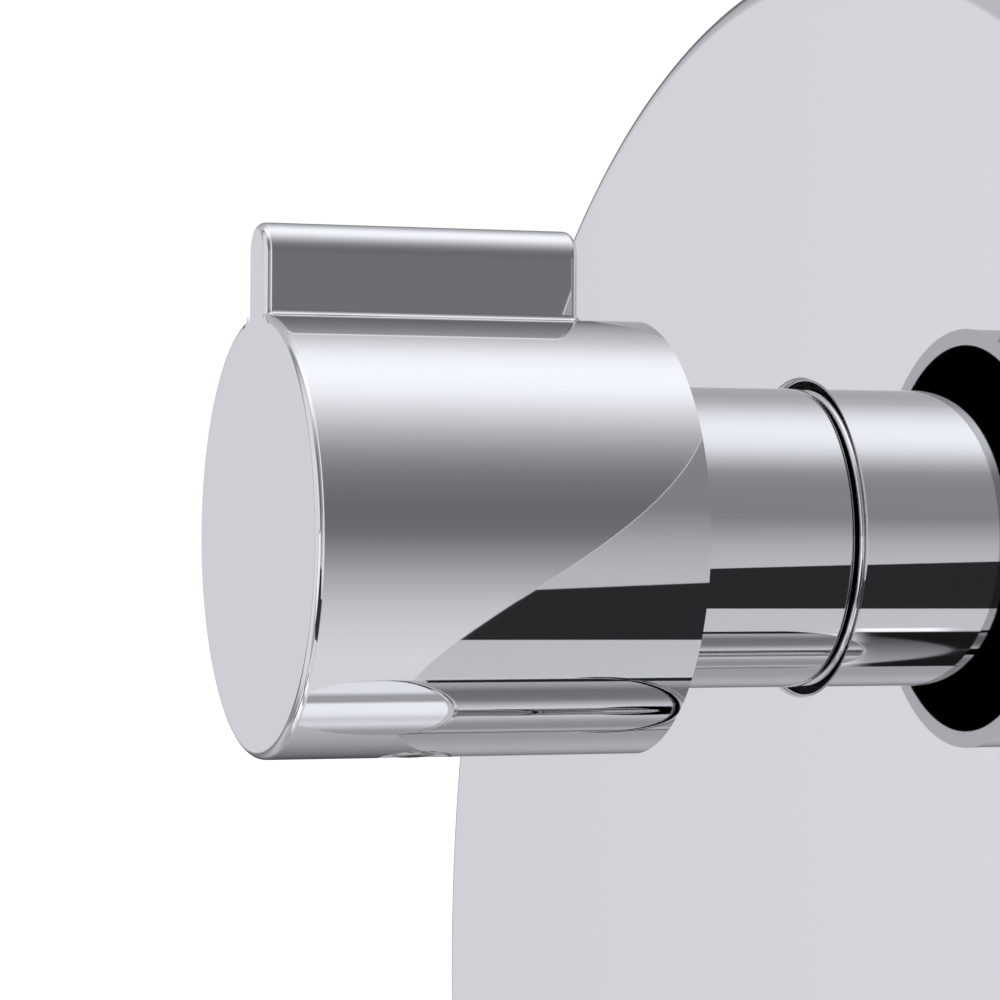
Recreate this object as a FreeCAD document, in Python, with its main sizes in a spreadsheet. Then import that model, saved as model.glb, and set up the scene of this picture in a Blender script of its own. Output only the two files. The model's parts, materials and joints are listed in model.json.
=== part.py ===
import FreeCAD, Part
import os

import Sketcher

# Wall mixer trim with two round controls on one round plate, and the valve body behind it.
# Row frame in millimetres: +Z up, -Y out of the wall, Y = 0 at the finished wall.
# The origin is the centre of the plate on the wall.

SIZES = [
    # wall plate
    ("plate_diameter", 220.0), ("plate_depth", 6.0), ("plate_sheet", 2.5), ("plate_rim", 3.0),
    ("plate_edge_radius", 2.8), ("hole_edge_radius", 0.65), ("gasket_width", 4.0), ("gasket_lift", 0.2),
    # places of the two controls
    ("upper_axis_height", 53.2), ("lower_axis_drop", 38.4), ("sleeve_clearance", 0.6),
    # small upper knob with its fin
    ("flow_knob_reach", 60.8), ("flow_knob_diameter", 41.5), ("flow_knob_length", 37.2),
    ("flow_knob_wall", 1.6), ("flow_recess_depth", 17.0), ("knob_edge_radius", 0.85), ("fin_length", 30.9),
    ("fin_thickness", 5.7), ("fin_height", 8.4), ("fin_root_radius", 0.5), ("insert_face", 6.0),
    ("flow_insert_diameter", 15.0), ("flow_insert_length", 36.0), ("insert_clearance", 0.1),
    # neck of the upper knob and the fixed sleeves in the plate's holes
    ("neck_diameter", 29.1), ("neck_wall", 2.0), ("neck_seat", 3.0), ("neck_plate_gap", 0.35),
    ("neck_edge_radius", 0.5), ("sleeve_sink", 0.05), ("sleeve_edge_radius", 0.6), ("sleeve_wall", 1.5),
    # set screws under the knobs
    ("screw_diameter", 4.0), ("screw_place", 14.6), ("screw_turn", 9.0), ("screw_sink", 0.05),
    ("screw_socket", 2.0), ("screw_socket_depth", 2.2), ("screw_recess_diameter", 7.0),
    ("screw_recess_depth", 0.9), ("screw_clearance", 0.05),
    # large lower knob and its fixed collar
    ("temp_knob_reach", 31.5), ("temp_knob_diameter", 65.0), ("temp_knob_wall", 2.5),
    ("temp_knob_face", 4.0), ("temp_boss_diameter", 30.0), ("temp_boss_length", 21.0),
    ("temp_insert_diameter", 20.0), ("collar_wall", 2.0), ("collar_face", 2.5), ("collar_hole_diameter", 34.0),
    # valve body
    ("barrel_front", 14.0), ("flow_barrel_diameter", 42.0), ("flow_barrel_length", 50.0),
    ("flow_bore_diameter", 30.0), ("flow_bore_depth", 36.0), ("temp_barrel_diameter", 54.0),
    ("temp_barrel_length", 50.0), ("temp_bore_diameter", 40.0), ("temp_bore_depth", 40.0),
    ("body_neck_front", 4.0), ("body_neck_clearance", 0.1), ("sleeve_rear", 13.0), ("port_place", 38.0),
    ("port_diameter", 28.0), ("port_bore_diameter", 18.6), ("port_bore_depth", 14.0), ("port_reach", 47.0),
    ("passage_diameter", 12.0), ("web_width", 32.0), ("web_front", 24.0), ("web_rear", 54.0),
    ("rear_pipe_place", 67.5), ("rear_pipe_diameter", 20.0), ("rear_way_diameter", 9.0),
    ("bracket_lift", 0.5),
    # flow and diverter cartridge
    ("cartridge_clearance", 0.1), ("flow_nut_diameter", 36.0), ("nut_length", 6.0),
    ("flow_neck_diameter", 18.0), ("flow_neck_front", 3.0), ("spindle_clearance", 0.05),
    ("flow_spindle_diameter", 8.0), ("drive_disc_diameter", 20.0), ("drive_disc_length", 3.0),
    ("ceramic_diameter", 24.0), ("ceramic_thickness", 3.2), ("ceramic_gap", 0.02), ("cup_wall", 2.6),
    ("seal_thickness", 1.6), ("flow_window_diameter", 4.0),
    # thermostatic cartridge
    ("temp_nut_diameter", 47.0), ("temp_neck_diameter", 22.0), ("temp_neck_front", -6.0),
    ("temp_spindle_diameter", 10.0), ("temp_window_diameter", 7.0), ("piston_diameter", 22.0),
    ("piston_length", 8.0),
    ("piston_travel", 1.6), ("wax_diameter", 11.0), ("wax_length", 14.0), ("spring_wire", 1.3),
    ("spring_turns", 4.0), ("stop_ring_diameter", 29.0), ("stop_ring_length", 3.0), ("stop_lug_length", 3.0),
    ("stop_clearance", 0.3), ("stop_arc", 120.0), ("tooth_arc", 30.0),
    # inlet fittings and fixing bracket
    ("strainer_length", 4.0), ("check_valve_length", 8.0), ("check_valve_bore", 6.0),
    ("bracket_width", 120.0), ("bracket_height", 132.0), ("bracket_sheet", 2.5), ("bracket_hole_diameter", 6.5),
    ("bracket_hole_spacing_x", 96.0), ("bracket_hole_spacing_z", 108.0), ("bracket_screw_diameter", 5.0),
    ("bracket_screw_head", 8.5), ("bracket_screw_head_length", 3.0), ("bracket_screw_reach", 9.0),
    ("bracket_screw_spread", 15.0), ("bracket_screw_clearance", 0.25), ("bracket_boss_diameter", 10.0),
]

# Places along the wall normal, worked out from the sizes.
FLOW_FRONT = "-Sheet.flow_knob_reach"
TEMP_FRONT = "-Sheet.temp_knob_reach"
PLATE_FRONT = "-Sheet.plate_depth"
SLEEVE_FRONT = "Sheet.sleeve_sink - Sheet.plate_depth"
UPPER = "Sheet.upper_axis_height"
LOWER = "-Sheet.lower_axis_drop"
SPACING = f"({UPPER} - ({LOWER}))"
FLOW_R = "Sheet.flow_knob_diameter / 2"
TEMP_R = "Sheet.temp_knob_diameter / 2"
NECK_R = "Sheet.neck_diameter / 2"
FLOW_CAP = "Sheet.flow_knob_length - Sheet.flow_recess_depth"
FLOW_FLOOR = "(Sheet.barrel_front + Sheet.flow_bore_depth)"
TEMP_FLOOR = "(Sheet.barrel_front + Sheet.temp_bore_depth)"
BODY_REAR = "(Sheet.rear_pipe_place + Sheet.rear_pipe_diameter / 2 + Sheet.bracket_lift)"

doc = FreeCAD.newDocument("wall_mixer")
sheet = doc.addObject("Spreadsheet::Sheet", "Sheet")
for row, (alias, size) in enumerate(SIZES, start=1):
    sheet.set(f"A{row}", str(size))
    sheet.setAlias(f"A{row}", alias)
doc.recompute()

SUBPARTS = []


def value(expression):
    """The number that an expression of the sheet's sizes gives now."""
    return float(sheet.evalExpression(expression))


def kept(piece, label):
    """Give a finished piece its label and list it for the step files."""
    piece.Label = label
    SUBPARTS.append(piece)
    return piece


def body_at(label, along="0", height="0"):
    """A body whose origin lies at a depth along the wall normal and at a height."""
    body = doc.addObject("PartDesign::Body", label)
    body.setExpression("Placement.Base.y", along)
    body.setExpression("Placement.Base.z", height)
    return kept(body, label)


def sketch_on(body, name, role):
    """A sketch on one of the body's own origin planes."""
    sketch = body.newObject("Sketcher::SketchObject", name)
    plane = [item for item in body.Origin.OriginFeatures if item.Role == role][0]
    sketch.AttachmentSupport = [(plane, "")]
    sketch.MapMode = "FlatFace"
    return sketch


def bind(sketch, kind, geometry, point, expression):
    """Hold one point of the sketch at a distance from its origin, or on its axis for None."""
    if expression is None:
        axis = -2 if kind == "DistanceX" else -1
        sketch.addConstraint(Sketcher.Constraint("PointOnObject", geometry, point, axis))
        return
    index = sketch.addConstraint(Sketcher.Constraint(kind, -1, 1, geometry, point, value(expression)))
    name = f"size{index}"
    sketch.renameConstraint(index, name)
    sketch.setExpression(f"Constraints.{name}", expression)


def outline(sketch, points):
    """A closed outline of straight lines through points given as pairs of expressions."""
    spots = [FreeCAD.Vector(value(x or "0"), value(y or "0"), 0) for x, y in points]
    count = len(points)
    for index in range(count):
        sketch.addGeometry(Part.LineSegment(spots[index], spots[(index + 1) % count]), False)
    for index in range(count):
        sketch.addConstraint(Sketcher.Constraint("Coincident", index, 2, (index + 1) % count, 1))
    for index, (x, y) in enumerate(points):
        bind(sketch, "DistanceX", index, 1, x)
        bind(sketch, "DistanceY", index, 1, y)


def circle(sketch, radius, x=None, y=None):
    """A circle held by its centre and its radius."""
    centre = FreeCAD.Vector(value(x or "0"), value(y or "0"), 0)
    index = sketch.addGeometry(Part.Circle(centre, FreeCAD.Vector(0, 0, 1), value(radius)), False)
    bind(sketch, "DistanceX", index, 3, x)
    bind(sketch, "DistanceY", index, 3, y)
    held = sketch.addConstraint(Sketcher.Constraint("Radius", index, value(radius)))
    sketch.renameConstraint(held, f"radius{held}")
    sketch.setExpression(f"Constraints.radius{held}", radius)


def rounded(body, radius, wanted):
    """Round the edges of the body's last feature that a test picks."""
    base = body.Tip
    names = [f"Edge{number}" for number, edge in enumerate(base.Shape.Edges, start=1) if wanted(edge)]
    if not names:
        raise RuntimeError(f"{body.Label}: no edge to round")
    fillet = body.newObject("PartDesign::Fillet", f"{body.Name}_round")
    fillet.Base = (base, names)
    fillet.setExpression("Radius", radius)
    doc.recompute()
    return fillet


def rim(along, radius):
    """A test for a whole circle about the piece's axis at a depth and a radius."""
    def wanted(edge):
        curve = edge.Curve
        return (curve.TypeId == "Part::GeomCircle" and abs(curve.Center.y - value(along)) < 1e-4
                and abs(curve.Radius - value(radius)) < 1e-4)
    return wanted


def turned(label, along, height, profile):
    """A piece turned about the wall normal: pairs of depth from its own front and radius."""
    body = body_at(label, along, height)
    sketch = sketch_on(body, f"{label}_outline", "YZ_Plane")
    outline(sketch, profile)
    doc.recompute()
    solid = body.newObject("PartDesign::Revolution", f"{label}_turned")
    solid.Profile = sketch
    solid.ReferenceAxis = (sketch, ["H_Axis"])
    solid.Angle = 360
    doc.recompute()
    return body


def lug(body, name, profile, arc):
    """Add a part-turn lug to a turned piece, centred on the side that its outline lies on."""
    sketch = sketch_on(body, name, "YZ_Plane")
    outline(sketch, profile)
    doc.recompute()
    solid = body.newObject("PartDesign::Revolution", f"{name}_turned")
    solid.Profile = sketch
    solid.ReferenceAxis = (sketch, ["H_Axis"])
    solid.Midplane = True
    solid.setExpression("Angle", arc)
    doc.recompute()


def tube(label, along, height, length, outer, inner=None):
    """A plain turned ring, or a disc where it has no bore."""
    return turned(label, along, height, [(None, inner), (None, outer), (length, outer), (length, inner)])


def drilled(body, name, role, circles, depth, both_ways=False):
    """Cut round holes of one depth, given as radius and centre, from an origin plane into the piece."""
    before = body.Shape.Volume
    sketch = sketch_on(body, name, role)
    for radius, x, y in circles:
        circle(sketch, radius, x, y)
    doc.recompute()
    pocket = body.newObject("PartDesign::Pocket", f"{name}_cut")
    pocket.Profile = sketch
    pocket.Midplane = both_ways
    pocket.setExpression("Length", depth)
    doc.recompute()
    if not body.Shape.Volume < before:
        raise RuntimeError(f"{name}: the holes miss the piece")
    return pocket


def rod(name, radius, length, place, way):
    """A cylinder from a place of three expressions along x, y or z."""
    cylinder = doc.addObject("Part::Cylinder", name)
    cylinder.setExpression("Radius", radius)
    cylinder.setExpression("Height", length)
    about, angle = {"x": ((0, 1, 0), 90), "y": ((1, 0, 0), -90), "z": ((0, 0, 1), 0)}[way]
    turn = FreeCAD.Rotation(FreeCAD.Vector(*about), angle)
    cylinder.Placement = FreeCAD.Placement(FreeCAD.Vector(), turn)
    for axis, expression in zip("xyz", place):
        cylinder.setExpression(f"Placement.Base.{axis}", expression)
    return cylinder


def joined(name, pieces):
    """One solid from several."""
    fuse = doc.addObject("Part::MultiFuse", name)
    fuse.Shapes = pieces
    fuse.Refine = True
    return fuse


def cut(name, base, pieces):
    """The base less one tool or several."""
    tools = pieces[0] if len(pieces) == 1 else joined(f"{name}_tools", pieces)
    result = doc.addObject("Part::Cut", name)
    result.Base = base
    result.Tool = tools
    result.Refine = True
    return result


# Wall plate: a shallow dish with a rounded rim and two round holes with rounded edges.

def wall_plate():
    radius = "Sheet.plate_diameter / 2"
    inner = "Sheet.plate_diameter / 2 - Sheet.plate_rim"
    body = turned("wall_plate", PLATE_FRONT, "0", [
        (None, None), (None, radius), ("Sheet.plate_depth", radius),
        ("Sheet.plate_depth", inner), ("Sheet.plate_sheet", inner), ("Sheet.plate_sheet", None)])
    upper_hole = f"{NECK_R} + Sheet.sleeve_clearance"
    lower_hole = f"{TEMP_R} + Sheet.sleeve_clearance"
    drilled(body, "plate_holes", "XZ_Plane", [(upper_hole, None, UPPER), (lower_hole, None, LOWER)],
            "Sheet.plate_sheet")
    rounded(body, "Sheet.plate_edge_radius", rim("0", radius))
    rounded(body, "Sheet.hole_edge_radius", rim("0", upper_hole))
    rounded(body, "Sheet.hole_edge_radius", rim("0", lower_hole))
    return body


def plate_gasket():
    """The soft ring inside the rim that seals the plate to the wall."""
    outer = "Sheet.plate_diameter / 2 - Sheet.plate_rim"
    inner = f"{outer} - Sheet.gasket_width"
    return tube("plate_gasket", "Sheet.plate_sheet - Sheet.plate_depth", "0",
                "Sheet.plate_depth - Sheet.plate_sheet - Sheet.gasket_lift", outer, inner)


def hole_seal(label, height, radius):
    """The soft ring behind a hole of the plate that grips the sleeve."""
    length = "Sheet.plate_depth - Sheet.plate_sheet"
    return tube(label, f"-({length})", height, length, f"{radius} + Sheet.gasket_width", radius)


# Upper control: knob with a fin, neck, insert, set screw and spindle.

def add_fin(body):
    """The half-round fin on top of the upper knob, flush with the knob's face."""
    sketch = sketch_on(body, "fin_outline", "XZ_Plane")
    half = "Sheet.fin_thickness / 2"
    foot = f"{FLOW_R} - Sheet.flow_knob_wall / 2"
    shoulder = f"{FLOW_R} + Sheet.fin_height - Sheet.fin_thickness / 2"
    left, low, high = -value(half), value(foot), value(shoulder)
    corners = [FreeCAD.Vector(left, high, 0), FreeCAD.Vector(left, low, 0),
               FreeCAD.Vector(-left, low, 0), FreeCAD.Vector(-left, high, 0)]
    for index in range(3):
        sketch.addGeometry(Part.LineSegment(corners[index], corners[index + 1]), False)
    top = FreeCAD.Vector(0, high - left, 0)
    sketch.addGeometry(Part.Arc(corners[3], top, corners[0]), False)
    for index in range(2):
        sketch.addConstraint(Sketcher.Constraint("Coincident", index, 2, index + 1, 1))
    sketch.addConstraint(Sketcher.Constraint("Tangent", 3, 1, 2, 2))
    sketch.addConstraint(Sketcher.Constraint("Tangent", 3, 2, 0, 1))
    sketch.addConstraint(Sketcher.Constraint("Vertical", 0))
    sketch.addConstraint(Sketcher.Constraint("Vertical", 2))
    sketch.addConstraint(Sketcher.Constraint("PointOnObject", 3, 3, -2))
    bind(sketch, "DistanceX", 2, 1, half)
    bind(sketch, "DistanceY", 2, 1, foot)
    bind(sketch, "DistanceY", 0, 2, foot)
    bind(sketch, "DistanceY", 3, 3, shoulder)
    doc.recompute()
    pad = body.newObject("PartDesign::Pad", "fin_pad")
    pad.Profile = sketch
    pad.Reversed = True
    pad.setExpression("Length", "Sheet.fin_length")
    doc.recompute()
    return pad


def fin_rear_edge(edge):
    """The outline of the fin's rear end above the knob."""
    end = value("Sheet.fin_length")
    inside = all(abs(point.Y - end) < 1e-4 for point in edge.Vertexes)
    return inside and max(point.Z for point in edge.Vertexes) > value(FLOW_R) + 0.5


def fin_root_edge(edge):
    """The line where the fin meets the knob."""
    radius = value(FLOW_R)
    middle = edge.valueAt((edge.FirstParameter + edge.LastParameter) / 2)
    spots = [point.Point for point in edge.Vertexes] + [middle]
    near = all(abs(spot.x) < value("Sheet.fin_thickness") and spot.z > 0 for spot in spots)
    on_knob = all(abs((spot.x ** 2 + spot.z ** 2) ** 0.5 - radius) < 1e-3 for spot in spots)
    length = value("Sheet.fin_length")
    return near and on_knob and middle.y > 1e-3 and middle.y < length + 1e-3


def front_edge(edge):
    """Every edge of the flat front face."""
    middle = edge.valueAt((edge.FirstParameter + edge.LastParameter) / 2)
    return all(abs(point.Y) < 1e-4 for point in edge.Vertexes) and abs(middle.y) < 1e-4


def screw_seat(body, name, surface, inner):
    """The threaded hole under a knob, a little to the right, with a shallow cone round its mouth."""
    before = body.Shape.Volume
    sketch = sketch_on(body, name, "YZ_Plane")
    slant = FreeCAD.Rotation(FreeCAD.Vector(-1, 0, 0), value("Sheet.screw_turn"))
    sketch.AttachmentOffset = FreeCAD.Placement(FreeCAD.Vector(), slant)
    sketch.setExpression("AttachmentOffset.Rotation.Angle", "Sheet.screw_turn")
    place = "Sheet.screw_place"
    hole = "Sheet.screw_diameter / 2 + Sheet.screw_clearance"
    mouth = "Sheet.screw_recess_diameter / 2"
    outline(sketch, [
        (place, f"-({inner})"), (f"{place} + {hole}", f"-({inner})"),
        (f"{place} + {hole}", f"-({surface} - Sheet.screw_recess_depth)"),
        (f"{place} + {mouth}", f"-({surface})"),
        (f"{place} + {mouth}", f"-({surface} + Sheet.screw_recess_depth)"),
        (place, f"-({surface} + Sheet.screw_recess_depth)")])
    axis_start = FreeCAD.Vector(value(place), 0, 0)
    axis = sketch.addGeometry(Part.LineSegment(axis_start, axis_start + FreeCAD.Vector(0, 10, 0)), True)
    sketch.addConstraint(Sketcher.Constraint("Vertical", axis))
    bind(sketch, "DistanceX", axis, 1, place)
    bind(sketch, "DistanceY", axis, 1, None)
    doc.recompute()
    groove = body.newObject("PartDesign::Groove", f"{name}_cut")
    groove.Profile = sketch
    groove.ReferenceAxis = (sketch, ["Axis0"])
    groove.Angle = 360
    doc.recompute()
    if not body.Shape.Volume < before:
        raise RuntimeError(f"{name}: the screw hole misses the knob")


def flow_knob():
    core = "Sheet.flow_insert_diameter / 2 + Sheet.insert_clearance"
    hollow = f"{FLOW_R} - Sheet.flow_knob_wall"
    seat = f"{FLOW_CAP} - Sheet.neck_seat"
    neck_inner = f"{NECK_R} - Sheet.neck_wall"
    body = turned("flow_knob", FLOW_FRONT, UPPER, [
        (None, None), (None, FLOW_R), ("Sheet.flow_knob_length", FLOW_R), ("Sheet.flow_knob_length", hollow),
        (FLOW_CAP, hollow), (FLOW_CAP, NECK_R), (seat, NECK_R), (seat, neck_inner),
        (FLOW_CAP, neck_inner), (FLOW_CAP, core), ("Sheet.insert_face", core), ("Sheet.insert_face", None)])
    add_fin(body)
    rounded(body, "Sheet.knob_edge_radius", fin_rear_edge)
    rounded(body, "Sheet.fin_root_radius", fin_root_edge)
    rounded(body, "Sheet.knob_edge_radius", front_edge)
    screw_seat(body, "flow_screw_seat", FLOW_R, "Sheet.flow_insert_diameter / 2")
    return body


def flow_neck():
    """The polished tube that turns with the upper knob."""
    seat = f"{FLOW_CAP} - Sheet.neck_seat - Sheet.flow_knob_reach"
    length = f"-({seat}) - Sheet.plate_depth - Sheet.neck_plate_gap"
    body = tube("flow_neck", seat, UPPER, length, NECK_R, f"{NECK_R} - Sheet.neck_wall")
    rounded(body, "Sheet.neck_edge_radius", rim(length, NECK_R))
    return body


def insert_piece(label, front, height, length, diameter, spindle):
    """The plastic piece between a knob and its spindle, with a blind bore for the spindle."""
    outer = f"{diameter} / 2"
    bore = f"{spindle} / 2 + Sheet.insert_clearance"
    return turned(label, f"Sheet.insert_face + {front}", height, [
        (None, None), (None, outer), (length, outer), (length, bore), ("Sheet.insert_face", bore),
        ("Sheet.insert_face", None)])


def temperature_insert():
    """The insert of the lower knob, with a flange and a tooth that meets the stop ring."""
    rear = "Sheet.temp_neck_front - Sheet.stop_clearance - Sheet.insert_face + Sheet.temp_knob_reach"
    body = insert_piece("temperature_insert", TEMP_FRONT, LOWER, rear, "Sheet.temp_insert_diameter",
                        "Sheet.temp_spindle_diameter")
    inner = "Sheet.temp_neck_diameter / 2 + Sheet.stop_clearance"
    outer = "Sheet.stop_ring_diameter / 2"
    bore = "Sheet.temp_spindle_diameter / 2 + Sheet.insert_clearance"
    flange = f"{rear} - Sheet.stop_ring_length"
    tip = f"{rear} + Sheet.stop_lug_length"
    lug(body, "insert_flange", [(flange, bore), (flange, outer), (rear, outer), (rear, bore)], "360")
    lug(body, "stop_tooth", [(flange, inner), (flange, outer), (tip, outer), (tip, inner)], "Sheet.tooth_arc")
    return body


def set_screw(label, front, height, surface, inner):
    """A headless screw that stands in the hole under a knob, turned with it about the knob's axis."""
    top = f"{height} - ({inner})"
    reach = f"{surface} - Sheet.screw_sink - ({inner})"
    depth = f"Sheet.screw_place + {front}"
    low = f"{height} - ({surface}) + Sheet.screw_sink"
    shank = rod(f"{label}_shank", "Sheet.screw_diameter / 2", reach, ("0", depth, low), "z")
    socket = doc.addObject("Part::Prism", f"{label}_socket")
    socket.Polygon = 6
    socket.setExpression("Circumradius", "Sheet.screw_socket / sqrt(3)")
    socket.setExpression("Height", "Sheet.screw_socket_depth")
    socket.setExpression("Placement.Base.y", depth)
    socket.setExpression("Placement.Base.z", low)
    screw = doc.addObject("Part::Cut", label)
    screw.Base = shank
    screw.Tool = socket
    doc.recompute()
    if abs(screw.Shape.BoundBox.ZMax - value(top)) > 1e-4:
        raise RuntimeError(f"{label}: the screw stops short of the insert")
    screw.Placement.Rotation = FreeCAD.Rotation(FreeCAD.Vector(0, -1, 0), value("Sheet.screw_turn"))
    screw.setExpression("Placement.Rotation.Angle", "Sheet.screw_turn")
    screw.setExpression("Placement.Base.x", f"({height}) * sin(Sheet.screw_turn)")
    screw.setExpression("Placement.Base.z", f"({height}) * (1 - cos(Sheet.screw_turn))")
    doc.recompute()
    if screw.Shape.BoundBox.Center.x < 1:
        raise RuntimeError(f"{label}: the screw isn't turned with its hole")
    return kept(screw, label)


def flow_spindle():
    """The stem, with the disc that drives the moving ceramic."""
    start = f"2 * Sheet.insert_face + Sheet.insert_clearance + {FLOW_FRONT}"
    disc = f"{FLOW_FLOOR} - Sheet.seal_thickness - 2 * Sheet.ceramic_thickness - 3 * Sheet.ceramic_gap"
    reach = f"{disc} - Sheet.drive_disc_length - ({start})"
    stem = "Sheet.flow_spindle_diameter / 2"
    wide = "Sheet.drive_disc_diameter / 2"
    return turned("flow_spindle", start, UPPER, [
        (None, None), (None, stem), (reach, stem), (reach, wide),
        (f"{reach} + Sheet.drive_disc_length", wide), (f"{reach} + Sheet.drive_disc_length", None)])


def ceramic(label, layer, side):
    """One of the two ceramic discs, counted from the seal on the floor of the bore."""
    step = f"{layer} * (Sheet.ceramic_thickness + Sheet.ceramic_gap)"
    start = f"{FLOW_FLOOR} - Sheet.seal_thickness - {step}"
    body = tube(label, start, UPPER, "Sheet.ceramic_thickness", "Sheet.ceramic_diameter / 2")
    port = "Sheet.ceramic_diameter / 8"
    offset = f"{side}Sheet.ceramic_diameter / 4"
    drilled(body, f"{label}_ports", "XZ_Plane", [(port, None, offset)], "Sheet.ceramic_thickness")
    return body


# Fixed sleeve and collar behind the controls, in the plate's holes.

def upper_sleeve():
    length = f"Sheet.sleeve_rear - ({SLEEVE_FRONT})"
    body = tube("upper_sleeve", SLEEVE_FRONT, UPPER, length, NECK_R, f"{NECK_R} - Sheet.sleeve_wall")
    rounded(body, "Sheet.sleeve_edge_radius", rim("0", NECK_R))
    return body


def lower_collar():
    length = f"Sheet.sleeve_rear - ({SLEEVE_FRONT})"
    inner = f"{TEMP_R} - Sheet.collar_wall"
    hole = "Sheet.collar_hole_diameter / 2"
    body = turned("lower_collar", SLEEVE_FRONT, LOWER, [
        (None, hole), (None, TEMP_R), (length, TEMP_R), (length, inner),
        ("Sheet.collar_face", inner), ("Sheet.collar_face", hole)])
    rounded(body, "Sheet.sleeve_edge_radius", rim("0", TEMP_R))
    return body


# Lower control: knob, insert, set screw and spindle.

def temperature_knob():
    hollow = f"{TEMP_R} - Sheet.temp_knob_wall"
    boss = "Sheet.temp_boss_diameter / 2"
    core = "Sheet.temp_insert_diameter / 2 + Sheet.insert_clearance"
    end = "Sheet.temp_boss_length"
    rear = "Sheet.temp_knob_reach - Sheet.plate_depth - Sheet.neck_plate_gap"
    body = turned("temperature_knob", TEMP_FRONT, LOWER, [
        (None, None), (None, TEMP_R), (rear, TEMP_R), (rear, hollow),
        ("Sheet.temp_knob_face", hollow), ("Sheet.temp_knob_face", boss), (end, boss), (end, core),
        ("Sheet.insert_face", core), ("Sheet.insert_face", None)])
    rounded(body, "Sheet.knob_edge_radius", rim("0", TEMP_R))
    rounded(body, "Sheet.neck_edge_radius", rim(rear, TEMP_R))
    screw_seat(body, "temperature_screw_seat", TEMP_R, "Sheet.temp_insert_diameter / 2")
    return body


def temperature_spindle():
    start = f"2 * Sheet.insert_face + Sheet.insert_clearance + {TEMP_FRONT}"
    length = f"Sheet.barrel_front + Sheet.nut_length + Sheet.cup_wall - ({start})"
    return tube("temperature_spindle", start, LOWER, length, "Sheet.temp_spindle_diameter / 2")


# Valve body: two barrels on a web, with inlets at the sides and outlets above and below.

def bracket_screw_spots():
    """A name and a place for each screw between the valve body and its bracket."""
    spots = []
    for level, z in (("upper", UPPER), ("lower", LOWER)):
        spots.append((f"{level}_left_screw", "-Sheet.bracket_screw_spread", z))
        spots.append((f"{level}_right_screw", "Sheet.bracket_screw_spread", z))
    return spots


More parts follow.
